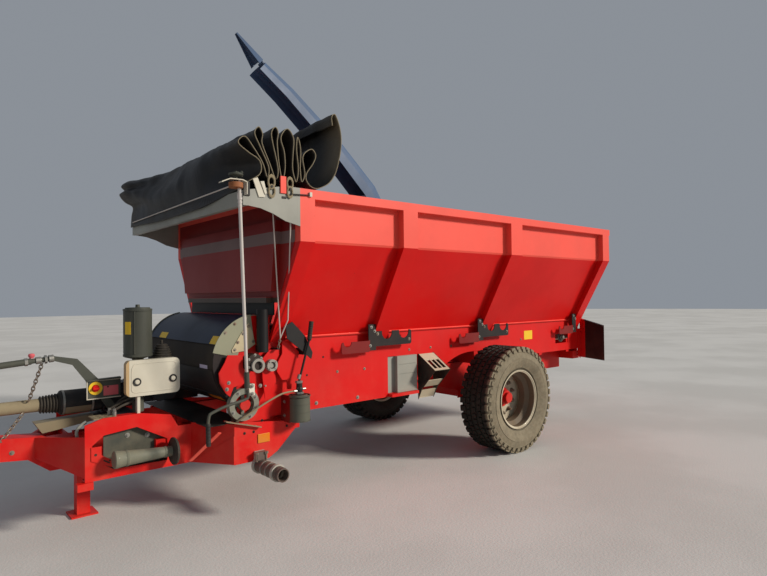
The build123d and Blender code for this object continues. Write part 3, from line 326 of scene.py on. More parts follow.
def enamel(name, look, zones):
    paint = Paint(name + "Enamel")
    fade = paint.step(paint.cloud(1.7, 5), 0.35, 0.7)
    base = paint.blend(fade * 0.6, colour(*look["base"]), colour(*look["worn"]))
    for low, high, tint in zones:
        tint = colour(*tint)
        worn = [part * 0.8 for part in tint[:3]] + [1]
        base = paint.blend(paint.inside(low, high), base, paint.blend(fade * 0.5, tint, worn))
    runs = paint.step(paint.cloud(1.0, 4, 0.6, paint.stretched((22, 22, 1.4))), 0.52, 0.78)
    low = 1 - paint.step(paint.height(), look["dustLow"], look["dustHigh"])
    film = paint.step(paint.cloud(5, 7, 0.62), 0.34, 0.72)
    dust = (low * 0.75 + runs * 0.25) * film * look["dustMost"] + film * 0.02
    base = paint.blend(dust, base, colour(*look["dust"]))
    chips = paint.step(paint.cloud(42, 3, 0.5), 0.74, 0.78) * paint.step(paint.cloud(2.3, 2), 0.5, 0.62)
    base = paint.blend(chips * 0.6, base, colour(62, 40, 32))
    rough = dust * 0.8 + (fade * 0.08 + look["rough"])
    orange = paint.cloud(130, 2) * 0.15 + dust * paint.cloud(260, 2)
    return paint.finish(base, rough, bump=orange, bumpDepth=0.0007, coat=0.02, shine=0.24)


steelLook = {
    "worn": {"base": (150, 142, 130), "rust": (104, 66, 40), "rustMost": 0.8, "rough": 0.42, "metal": 0.8},
    "zinc": {"base": (150, 149, 144), "rust": (112, 102, 86), "rustMost": 0.45, "rough": 0.42, "metal": 0.75},
}


def steel(name, look):
    paint = Paint(name)
    rust = paint.step(paint.cloud(7, 7, 0.65), 0.42, 0.7) * look["rustMost"]
    base = paint.blend(rust, colour(*look["base"]), colour(*look["rust"]))
    rough = rust * 0.45 + look["rough"]
    metal = look["metal"] - rust * 0.7
    return paint.finish(base, rough, metal, paint.cloud(70, 4), 0.0008)


rubberLook = {
    "tyre": {"base": (20, 18, 17), "mud": (138, 128, 108), "tread": 0.08, "side": 0.92, "wall": (1.196, 1.226)},
    "hose": {"base": (22, 22, 24), "mud": (110, 100, 86), "tread": 0.3, "side": 0.3, "wall": (1.0, 2.0)},
}


def rubber(name, look):
    paint = Paint(name)
    across = paint.node("ShaderNodeSeparateXYZ", {}, {0: paint.place}, "Y")
    wall = paint.step(paint.node("ShaderNodeMath", {"operation": "ABSOLUTE"}, {0: across}), *look["wall"])
    film = paint.step(paint.cloud(9, 8, 0.68), 0.22, 0.62)
    mud = film * look["tread"] * (1 - wall) + (film * 0.35 + 0.65) * look["side"] * wall
    fine = paint.step(paint.cloud(34, 4), 0.35, 0.7)
    tint = paint.blend(fine * 0.35, colour(*look["mud"]), colour(104, 92, 70))
    base = paint.blend(mud, colour(*look["base"]), tint)
    return paint.finish(base, mud * 0.25 + 0.66, bump=paint.cloud(90, 5), bumpDepth=0.0015, shine=0.3)


def lamp(name, tint):
    paint = Paint(name)
    ribs = paint.node("ShaderNodeTexWave", {"bands_direction": "Y"}, {"Vector": paint.place, "Scale": 22.0})
    base = paint.blend(ribs * 0.35, tint, colour(90, 8, 8))
    return paint.finish(base, 0.22, bump=ribs, bumpDepth=0.002, coat=0.6)


def cloth(name):
    paint = Paint(name)
    dust = paint.step(paint.cloud(3.4, 7, 0.62), 0.45, 0.75)
    edge = paint.node("ShaderNodeAttribute", {"attribute_name": "edgeDistance"}, {}, "Fac")
    hem = 1 - paint.step(edge, 0.003, 0.01)
    near = 1 - paint.step(edge, 0.02, 0.34)
    along = paint.node("ShaderNodeSeparateXYZ", {}, {0: paint.place}, "X") - wheelLine
    flap = 1 - paint.step(along, 2.2, 2.3)
    base = paint.blend(dust * 0.3, colour(20, 21, 26), colour(88, 80, 68))
    base = paint.blend(near * flap * 0.75 + near * 0.1, base, colour(112, 100, 80))
    # the hem drawn pale tan: dust on the edge and a painted highlight where the edge catches light
    base = paint.blend(hem * 0.9, base, colour(150, 138, 114))
    weave = paint.node("ShaderNodeTexWave", {}, {"Vector": paint.place, "Scale": 160.0, "Distortion": 1.5})
    weave = weave * 0.4 + paint.cloud(18, 5)
    return paint.finish(base, dust * 0.2 + 0.5, bump=weave, bumpDepth=0.002, coat=0.03, shine=0.3)


paints = {}
for name, row in enamelLook.items():
    paints[name] = enamel(name, dict(zip(enamelParts, row)), zoneLook.get(name, ()))
paints.update({name + "Steel": steel(name + "Steel", look) for name, look in steelLook.items()})
paints.update({name + "Rubber": rubber(name + "Rubber", look) for name, look in rubberLook.items()})
paints["lamp"] = lamp("lampLens", colour(150, 14, 12))
paints["cloth"] = cloth("tarpCloth")

slotPaints = {
    "red_paint": "red", "grey_paint": "grey", "blue_grey_paint": "blueGrey", "black_paint": "black",
    "worn_steel": "wornSteel", "zinc": "zincSteel", "rim_paint": "rim", "tyre_rubber": "tyreRubber",
    "black_rubber": "hoseRubber", "black_plastic": "plastic", "cover_plastic": "cream", "lamp_plastic": "lamp",
    "tarp_cloth": "cloth",
}

nodePaints = {
    "hood": "navy", "hooks": "hooks", "gearbox": "gearbox", "motors": "motors", "tarp_crank": "crank",
    "grease_can": "can", "step": "step", "tower": "darkGrey", "rotor": "black", "beater": "darkGrey",
    "isolator": "darkGrey", "rotor_housing": "housing", "hose_coupling": "stub",
}

for row in frame["record"]["subparts"]:
    paintName = nodePaints.get(row["node"], slotPaints[row["material_slot"]])
    for materialSlot in nodes[row["node"]].material_slots:
        materialSlot.material = paints[paintName]
print("paints on the frame")

# Tools for making pieces, in metres ahead of the axle, left of the middle and above the ground

ahead, back, left, up = (1, 0, 0), (-1, 0, 0), (0, 1, 0), (0, 0, 1)


def block(bm, low, high):
    low, high = Vector(low), Vector(high)
    place = Matrix.Translation((low + high) / 2) @ Matrix.Diagonal((*(high - low), 1))
    return bmesh.ops.create_cube(bm, size=1, matrix=place)["verts"]


def rod(bm, start, end, radius, sides=20):
    start, end = Vector(start), Vector(end)
    turn = (end - start).to_track_quat("Z", "Y").to_matrix().to_4x4()
    place = Matrix.Translation((start + end) / 2) @ turn
    bmesh.ops.create_cone(bm, cap_ends=True, segments=sides, radius1=radius, radius2=radius,
                          depth=(end - start).length, matrix=place)


def turned(bm, outline, centre, axis, steps):  # an outline of radii and distances, turned round an axis
    centre, axis = Vector(centre), Vector(axis).normalized()
    out = axis.orthogonal().normalized()
    verts = [bm.verts.new(centre + out * radius + axis * along) for radius, along in outline]
    edges = [bm.edges.new(pair) for pair in zip(verts, verts[1:])]
    bmesh.ops.spin(bm, geom=verts + edges, cent=centre, axis=axis, angle=math.tau, steps=steps, use_merge=True)


def hoop(bm, centre, axis, inner, outer, thick, steps=32):
    turned(bm, [(inner, 0), (outer, 0), (outer, thick), (inner, thick), (inner, 0)], centre, axis, steps)


def plate(bm, outline, thickness):
    face = bm.faces.new([bm.verts.new(point) for point in outline])
    side = bmesh.ops.extrude_face_region(bm, geom=[face])["geom"]
    moved = [v for v in side if isinstance(v, bmesh.types.BMVert)]
    bmesh.ops.translate(bm, verts=moved, vec=Vector(thickness))


def sideCut(bm, outline, low, high):  # a plate that stands along the machine
    plate(bm, [(x, low, z) for x, z in outline], (0, high - low, 0))


def bowed(bm, centre, axis, radii, angles, ends, steps):  # a plate bent round a line through the centre
    start, end = (math.radians(angle) for angle in angles)
    frames = {"X": (left, up), "Y": (ahead, up), "Z": (ahead, left)}
    across, over = (Vector(way) for way in frames[axis])
    reach = across * math.cos(start) + over * math.sin(start)
    along = Vector([float(letter == axis) for letter in "XYZ"])
    corners = [(radii[0], ends[0]), (radii[1], ends[0]), (radii[1], ends[1]), (radii[0], ends[1])]
    spots = [Vector(centre) + reach * radius + along * way for radius, way in corners]
    face = bm.faces.new([bm.verts.new(spot) for spot in spots])
    parts = [face, *face.edges, *face.verts]
    bmesh.ops.spin(bm, geom=parts, cent=centre, axis=across.cross(over), angle=end - start, steps=steps)


def bolt(bm, spot, out, size):
    spot, out = Vector(spot), Vector(out).normalized() * size
    rod(bm, spot, spot + out * 0.3, size * 1.8, 14)
    rod(bm, spot + out * 0.3, spot + out * 1.1, size, 6)
    rod(bm, spot + out * 1.1, spot + out * 1.5, size * 0.5, 8)


def link(bm, spot, along, flat, size):  # a chain's link
    count = len(bm.verts)
    place = Matrix.Translation((size, 0, 0)) @ Matrix.Rotation(math.pi / 2, 4, "X")
    ring = bmesh.ops.create_circle(bm, segments=6, radius=size * 0.3, matrix=place)["verts"]
    edges = {edge for vert in ring for edge in vert.link_edges}
    bmesh.ops.spin(bm, geom=ring + list(edges), axis=up, angle=math.tau, steps=10, use_merge=True)
    made = list(bm.verts)[count:]
    turn = Matrix((along, flat.cross(along), flat)).transposed().to_4x4()
    place = Matrix.Translation(spot) @ turn @ Matrix.Diagonal((1.7, 1, 1, 1))
    bmesh.ops.transform(bm, matrix=place, verts=made)


def ringOfSpots(centre, radius, count, turn):  # spots in a circle on a plate that stands along the machine
    x, y, z = centre
    angles = [math.tau * i / count + turn for i in range(count)]
    return tuple((x + radius * math.cos(a), y, z + radius * math.sin(a)) for a in angles)


def placed(name, mesh, slot, paint, body):
    mesh.transform(Matrix.Translation(origin))
    mesh.materials.append(paints[paint or slotPaints[slot]])
    made = bpy.data.objects.new(name, mesh)
    scene.collection.objects.link(made)
    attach(made, body)
    return made


def piece(name, bm, slot, paint=None, bevel=0.0, smooth=35, body="trailer"):
    bmesh.ops.remove_doubles(bm, verts=bm.verts, dist=0.00005)
    bmesh.ops.recalc_face_normals(bm, faces=bm.faces)
    mesh = bpy.data.meshes.new(name)
    bm.to_mesh(mesh)
    bm.free()
    mesh.shade_smooth()
    mesh.set_sharp_from_angle(angle=math.radians(smooth))
    made = placed(name, mesh, slot, paint, body)
    if bevel:
        edge = made.modifiers.new("edge", "BEVEL")
        edge.width = bevel
        edge.segments = 2
        edge.limit_method = "ANGLE"
        edge.angle_limit = math.radians(40)
        edge.harden_normals = True
    return made


def shape(name, parts, *look, **more):  # a piece made by tools, each listed with its values
    bm = bmesh.new()
    for tool, *values in parts:
        tool(bm, *values)
    return piece(name, bm, *look, **more)


def pipe(name, points, radius, slot, paint=None):
    curve = bpy.data.curves.new(name, "CURVE")
    curve.dimensions = "3D"
    curve.bevel_depth = radius
    curve.bevel_resolution = 4
    curve.resolution_u = 8
    curve.use_fill_caps = True
    spline = curve.splines.new("NURBS")
    spline.points.add(len(points) - 1)
    for point, place in zip(spline.points, points):
        point.co = (*place, 1)
    spline.order_u = 3
    spline.use_endpoint_u = True
    drawn = bpy.data.objects.new(name + "Line", curve)
    mesh = bpy.data.meshes.new_from_object(drawn)
    mesh.name = name
    bpy.data.objects.remove(drawn)
    mesh.shade_smooth()
    mesh.materials.clear()
    placed(name, mesh, slot, paint, "trailer")


# Wheels: carcass with a moulded side wall, a tread of blocks, and nuts round the hub

tyreLook = {
    "radius": 0.536, "width": 0.385, "bead": 0.287, "beadHalf": 0.131, "grooveDepth": 0.013, "steps": 120,
    "ribs": ((-0.068, 0.04), (0.0, 0.046), (0.068, 0.04)), "ribBlocks": 56, "shoulderBlocks": 40,
    "nuts": 10, "nutCircle": 0.168, "nutFace": 0.063, "nutRadius": 0.019,
    "nut": ((0, 0.006, 1.25, 20), (0.006, 0.026, 1, 6), (0.026, 0.042, 0.6, 10)),
}


def makeTyre(side, look):
    low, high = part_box(f"tyre_{side}")
    centre = (Vector(low) + Vector(high)) / 2 - origin
    out = 1 if side == "left" else -1
    tip, half, bead, beadHalf = look["radius"], look["width"] / 2, look["bead"], look["beadHalf"]
    radius = tip - look["grooveDepth"]
    wall = [(bead, beadHalf - 0.026), (bead, beadHalf), (bead + 0.014, beadHalf + 0.012),
            (bead + 0.03, beadHalf + 0.016), (bead + 0.034, beadHalf + 0.026), (0.345, half - 0.026),
            (0.37, half - 0.012), (0.4, half - 0.004), (0.418, half - 0.001), (0.421, half),
            (0.424, half - 0.004), (0.452, half - 0.008), (0.474, half - 0.014), (0.48, half - 0.012),
            (0.486, half - 0.018), (0.504, half - 0.026), (radius - 0.008, half - 0.036), (radius, half - 0.052)]
    inner = [(radius - 0.026, half - 0.08), (0.48, half - 0.045), (0.4, half - 0.028),
             (bead + 0.03, half - 0.05), (bead, beadHalf - 0.026)]
    outline = wall + [(r, -y) for r, y in wall[::-1]] + [(r, -y) for r, y in inner[::-1]] + inner
    bm = bmesh.new()
    turned(bm, outline, centre, (0, out, 0), look["steps"])

    def ringOf(count, low, high, share, phase, drop=0.0):
        pitch = math.tau / count
        for i in range(count):
            turn = Matrix.Translation(centre) @ Matrix.Rotation(pitch * (i + phase), 4, "Y")
            wide = pitch * tip * share
            made = block(bm, (tip - 0.03 - drop, low, -wide / 2), (tip - drop, high, wide / 2))
            outer = [v for v in made if v.co.x > tip - 0.015 - drop]
            middle = Matrix.Translation((0, -(low + high) / 2, 0))
            bmesh.ops.scale(bm, vec=(1, 0.86, 0.9), verts=outer, space=middle)
            bmesh.ops.transform(bm, matrix=turn, verts=made)

    for offset, width in look["ribs"]:
        ringOf(look["ribBlocks"], offset - width / 2, offset + width / 2, 0.84, 0.5 * (offset != 0))
    for sign in (-1, 1):
        low, high = sorted((sign * 0.1, sign * (half - 0.018)))
        ringOf(look["shoulderBlocks"], low, high, 0.7, 0.25 * sign)
        low, high = sorted((sign * 0.13, sign * (half - 0.006)))
        ringOf(look["shoulderBlocks"], low, high, 0.52, 0.25 * sign, 0.022)
    made = piece(f"{side}Tyre", bm, "tyre_rubber", smooth=30, body=f"wheel_{side}")
    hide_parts(f"tyre_{side}")
    middle = (centre.x, centre.y - out * look["nutFace"], centre.z)
    nuts = [(rod, (x, y + out * start, z), (x, y + out * end, z), look["nutRadius"] * share, sides)
            for x, y, z in ringOfSpots(middle, look["nutCircle"], look["nuts"], math.pi / look["nuts"])
            for start, end, share, sides in look["nut"]]
    shape(f"{side}WheelNuts", nuts, "worn_steel", bevel=0.0015, body=f"wheel_{side}")


for side in ("left", "right"):
    makeTyre(side, tyreLook)
print("wheels made")

# Cover: one sheet gathered in folds across the front of the hopper
# each fold is ahead of the axle and above the ground, at the left end, and the first one again further across

coverLook = {
    "left": 1.16, "right": -1.17, "across": 72, "between": 5, "thick": 0.005, "wrinkle": 0.012,
    "foot": 2.43, "upright": 38, "calm": 12,
    "frontFold": {
        0.0: ((3.03, 2.352), (2.985, 2.4), (2.89, 2.47), (2.89, 2.56), (2.975, 2.607), (3.052, 2.662),
              (3.003, 2.714), (2.935, 2.645), (2.868, 2.55)),
        0.3: ((3.05, 2.29), (3.056, 2.372), (3.07, 2.47), (3.078, 2.545), (3.068, 2.62), (3.03, 2.69),
               (2.965, 2.745), (2.9, 2.765), (2.865, 2.69)),
        0.62: ((3.05, 2.285), (3.066, 2.372), (3.1, 2.45), (3.1, 2.52), (3.05, 2.59), (3.0, 2.66),
               (2.95, 2.73), (2.895, 2.762), (2.86, 2.69)),
        1.0: ((3.05, 2.31), (3.04, 2.42), (3.03, 2.512), (3.11, 2.56), (3.16, 2.628), (3.108, 2.664),
              (3.138, 2.708), (3.06, 2.756), (2.88, 2.73)),
    },
    "folds": ((2.835, 2.455), (2.822, 2.53), (2.885, 2.66), (2.93, 2.752), (2.899, 2.803), (2.868, 2.758),
              (2.872, 2.69), (2.815, 2.56), (2.768, 2.45), (2.748, 2.53), (2.78, 2.68), (2.795, 2.776),
              (2.764, 2.822), (2.737, 2.783), (2.748, 2.7), (2.738, 2.56), (2.716, 2.45), (2.69, 2.54),
              (2.69, 2.65), (2.714, 2.748), (2.66, 2.822), (2.606, 2.76), (2.618, 2.64), (2.625, 2.54),
              (2.6, 2.455), (2.577, 2.54), (2.584, 2.68), (2.572, 2.776), (2.548, 2.69), (2.56, 2.56),
              (2.55, 2.46), (2.52, 2.52), (2.532, 2.64), (2.457, 2.708), (2.414, 2.668), (2.44, 2.6),
              (2.51, 2.51), (2.48, 2.44), (2.4, 2.424), (2.29, 2.48), (2.215, 2.61), (2.178, 2.8),
              (2.19, 2.93), (2.232, 3.016), (2.268, 2.99), (2.262, 2.93)),
}


def smoothLine(points, between):
    line = []
    for i in range(len(points) - 1):
        before, start, end, after = (Vector(points[max(0, min(len(points) - 1, i + k))]) for k in (-1, 0, 1, 2))
        for k in range(between):
            t = k / between
            bend = (2 * before - 5 * start + 4 * end - after) * t * t
            line.append(0.5 * (2 * start + (end - before) * t + bend
                               + (3 * start - before - 3 * end + after) * t ** 3))
    return line + [Vector(points[-1])]


def makeCover(look):
    random.seed(7)
    stations = sorted(look["frontFold"])
    lift = [random.uniform(0.75, 1.0) for _ in look["folds"]]
    shift = [random.uniform(-0.03, 0.03) for _ in look["folds"]]

    def profile(share):
        after = next(s for s in stations if s >= share)
        before = max([s for s in stations if s < share], default=0.0)
        mix = 0 if after == before else (share - before) / (after - before)
        mix = mix * mix * (3 - 2 * mix)
        pairs = zip(look["frontFold"][before], look["frontFold"][after])
        front = [Vector(a).lerp(Vector(b), mix) for a, b in pairs]
        rest = []
        for i, (x, z) in enumerate(look["folds"]):
            top = look["foot"] + (z - look["foot"]) * (1 + (lift[i // 4] - 1) * min(1, share * 2.2))
            away = share * math.sin(math.pi * share) * 0.05
            high = min(z, top) if i < look["upright"] else z - 0.1 * share
            rest.append(Vector((x + shift[i // 5] * share + away, high)))
        return smoothLine([tuple(p) for p in front + rest], look["between"])

    bm = bmesh.new()
    hem = bm.verts.layers.float.new("edgeDistance")
    rows = []
    for j in range(look["across"] + 1):
        share = j / look["across"]
        y = look["left"] + (look["right"] - look["left"]) * share
        row = []
        for i, (x, z) in enumerate(profile(share)):
            spot = Vector((x, y, z))
            near = min(1.0, i / look["calm"])
            waves = noise.noise(spot * 3.1) * 1.6 + noise.noise(spot * 8.3 + Vector((5, 1, 2))) * 0.6
            waves += noise.noise(Vector((x * 2.0, y * 9.0, z * 2.0))) * 0.7
            spot += Vector((waves * 0.8, waves * 0.25, waves * 0.6)) * look["wrinkle"] * near
            vert = bm.verts.new(spot)
            vert[hem] = min(look["left"] - y, y - look["right"])
            row.append(vert)
        rows.append(row)
    for first, second in zip(rows, rows[1:]):
        for i in range(len(first) - 1):
            bm.faces.new((first[i], first[i + 1], second[i + 1], second[i]))
    area = sum(face.calc_area() for face in bm.faces)
    length = area / (look["left"] - look["right"])
    print(f"cover's cloth is {length:.2f} m long")
    made = piece("cover", bm, "tarp_cloth", smooth=80)
    wall = made.modifiers.new("cloth", "SOLIDIFY")
    wall.thickness = look["thick"]
    wall.offset = 0
    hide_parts("tarp")


makeCover(coverLook)
print("cover made")

# Bolts, screws and holes: size, material, direction, sides and spots

both, one = (1, -1), (1,)

boltLook = {
    "skirtBolts": (0.007, "worn_steel", left, both,
                   ((1.913, 0.712, 0.951), (1.611, 0.712, 0.949), (1.053, 0.712, 1.083), (0.76, 0.712, 1.085),
                    (0.457, 0.712, 1.08), (-0.746, 0.712, 1.079))),
    "cornerBolts": (0.009, "zinc", left, one, ((2.135, 0.712, 0.707), (1.693, 0.712, 0.701))),
    "cornerHoles": (0.005, "black_paint", left, one, ((2.061, 0.712, 1.089), (2.226, 0.712, 0.951))),
    "plateHoles": (0.006, "black_paint", left, both,
                   ((2.669, 0.752, 0.648), (2.74, 0.752, 0.571), (2.817, 0.752, 0.571), (2.447, 0.752, 0.571))),
    "guardBolts": (0.008, "zinc", left, one,
                   ((2.942, 0.752, 0.967), (2.957, 0.752, 0.92), (2.681, 0.752, 0.918), (2.639, 0.752, 0.913))),
    "flangeBolts": (0.009, "zinc", left, one, ringOfSpots((2.82, 0.762, 0.79), 0.104, 8, 0.3)),
    "motorBolts": (0.006, "zinc", left, one, ringOfSpots((2.752, 0.808, 1.105), 0.06, 6, 0.5)),
    "outerRingBolts": (0.005, "zinc", left, one, ringOfSpots((2.596, 0.796, 1.071), 0.037, 4, 0.8)),
    "hoodBolts": (0.007, "worn_steel", left, both, ringOfSpots((2.69, 0.718, 1.105), 0.35, 22, 0.16)[2:5]),
    "guideBolts": (0.007, "worn_steel", left, one,
                   ((2.853, 0.724, 1.262), (2.878, 0.724, 1.207), (2.724, 0.724, 1.262), (2.763, 0.724, 1.38),
                    (2.808, 0.724, 1.326), (2.79, 0.724, 1.212))),
    "hookBolts": (0.008, "zinc", left, one, [(face + x, 0.794, z) for face in (1.54, 0.035, -1.8185)
                                             for x, z in ((0.014, 1.288), (0.066, 1.16), (0.052, 1.325))]),
    "nutsBehind": (0.008, "worn_steel", left, one, [(face + x, 0.794, z) for face in (1.54, 0.035)
                                                    for x, z in ((-0.02, 1.262), (-0.41, 1.195))]),
    "bracketBolts": (0.008, "zinc", left, one, ((2.775, 0.8, 0.93), (2.775, 0.8, 0.872))),
    "tongueBolts": (0.009, "worn_steel", left, both,
                    ((4.22, 0.08, 0.551), (4.42, 0.08, 0.585), (4.62, 0.08, 0.61))),
    "caseBolts": (0.009, "zinc", up, one, [(x, y, 0.96) for x in (3.43, 3.52, 3.61) for y in (-0.09, 0.09)]),
    "lipBolts": (0.008, "zinc", (-0.27, 0, 0.96), both,
                 [(x, 0.77, 0.6 + (x - 2.69) * 0.2828) for x in (2.74, 2.81, 2.88, 2.945)]),
    "canBolts": (0.008, "zinc", ahead, one, ((2.474, 0.765, 0.66), (2.474, 0.765, 0.77))),
    "windowBolts": (0.01, "zinc", left, one, ((3.56, 0.402, 0.62), (3.42, 0.402, 0.6), (3.62, 0.402, 0.47))),
    "lampScrews": (0.004, "zinc", back, one,
                   [(-2.081, side * y, 0.96) for side in (-1, 1) for y in (0.815, 0.985)]),
}

for name, (size, slot, way, sides, spots) in boltLook.items():
    shape(name, [(bolt, (x, side * y, z), (way[0], side * way[1], way[2]), size)
                 for x, y, z in spots for side in sides], slot)
print("bolts made")

# Plates and blank labels: low corner, high corner, paint, rounding

slabLook = {
    # painted sunlight: the ledges are drawn in the lighter, sunlit red
    "ledgeLeft": ((-1.985, 0.709, 1.262), (2.573, 0.722, 1.282), "sunRed", 0.003),
    "ledgeRight": ((-1.985, -0.722, 1.262), (1.96, -0.709, 1.282), "sunRed", 0.003),
    "sidePlate": ((-0.975, 0.7118, 1.071), (-0.812, 0.7136, 1.174), "yellow", 0.0006),
    "reflectorLeft": ((2.605, 0.7518, 0.477), (2.708, 0.76, 0.546), "orange", 0.003),
    "reflectorRight": ((2.605, -0.76, 0.477), (2.708, -0.7518, 0.546), "orange", 0.003),
    "panelPlate": ((3.577, 0.2518, 0.9), (3.679, 0.2536, 0.97), "pink", 0.0006),
    "panelTop": ((3.56, 0.2518, 1.011), (3.792, 0.2565, 1.018), "cream", 0.001),
    "panelFoot": ((3.56, 0.2518, 0.88), (3.792, 0.2565, 0.887), "cream", 0.001),
    "panelEdge": ((3.785, 0.2518, 0.887), (3.792, 0.2565, 1.011), "cream", 0.001),
    # painted shade: the can's bracket in dark red, as it faces into shade
    "canBracket": ((2.466, 0.712, 0.61), (2.474, 0.842, 0.822), "deepRed", 0.001),
    "headPlate": ((2.985, 1.179, 2.3), (3.032, 1.19, 2.398), "black", 0.002),
    # painted sunlight: the tab in the lighter, sunlit red
    "headTab": ((2.697, 1.18, 2.346), (2.744, 1.19, 2.47), "sunRed", 0.002),
    "rimTab": ((2.478, 1.18, 2.345), (2.5, 1.196, 2.379), "cream", 0.002),
    "rimSlot": ((2.694, 1.18, 2.31), (2.73, 1.184, 2.326), "black", 0.001),
    "curtain": ((2.577, -0.8, 1.462), (2.588, 0.8, 1.562), "black", 0.002),
    "ropeLug": ((2.536, 0.712, 1.19), (2.56, 0.806, 1.204), "black", 0.002),
    # painted shade: a black sheet under the blower, where the underside lies in shade
    "paintedShadePlate": ((2.745, -0.69, 0.644), (3.085, 0.69, 0.65), "black", 0.001),
    "valveBlock": ((3.225, 0.252, 0.905), (3.345, 0.401, 1.15), "black", 0.004),
}

for name, (low, high, paint, rounding) in slabLook.items():
    slot = {"cream": "cover_plastic", "black": "black_paint"}.get(paint, "red_paint")
    shape(name, [(block, low, high)], slot, paint, rounding)

# Front of the blower: dark brown panel under the hood, black ones over the rotor, and their blank labels
# each is bent round the rotor's line: radii in and out, angles, ends across the machine, paint

rotorLine = (2.69, 0, 1.105)
bowLook = {
    # a dark brown panel just under the hood's front edge
    "underHoodPanel": ((0.3465, 0.3515), (-9, 26), (-0.7, 0.7), "brown"),
    "rotorPanel": ((0.3572, 0.3602), (-76, -7), (-0.698, 0.698), "black"),
    "rotorPanelFold": ((0.36, 0.366), (-44, -42), (-0.698, 0.698), "black"),
    "hoodPlateFar": ((0.3618, 0.3634), (24.5, 33), (-0.478, -0.317), "yellow"),
    "hoodPlateNear": ((0.3618, 0.3634), (24.5, 35), (0.59, 0.7), "yellow"),
    "lilacPlate": ((0.3513, 0.3527), (-6.5, -2), (0.459, 0.597), "lilac"),
    "ochrePlate": ((0.36, 0.3616), (-55, -47), (0.38, 0.6), "orange"),
}

for name, (radii, angles, ends, paint) in bowLook.items():
    shape(name, [(bowed, rotorLine, "Y", radii, angles, ends, 16)], "black_paint", paint)
print("front panels made")

# Fittings: parts (each a tool and what it takes), material, paint, rounding of the edges, angle of smoothing

switch, knobs = (3.733, 0.252, 0.959), ((3.507, 0.455, 1.002), (3.248, 0.455, 1.006))
hoseTops = ((3.628, 0.31, 0.815), (3.664, 0.345, 0.812), (3.64, 0.38, 0.808))

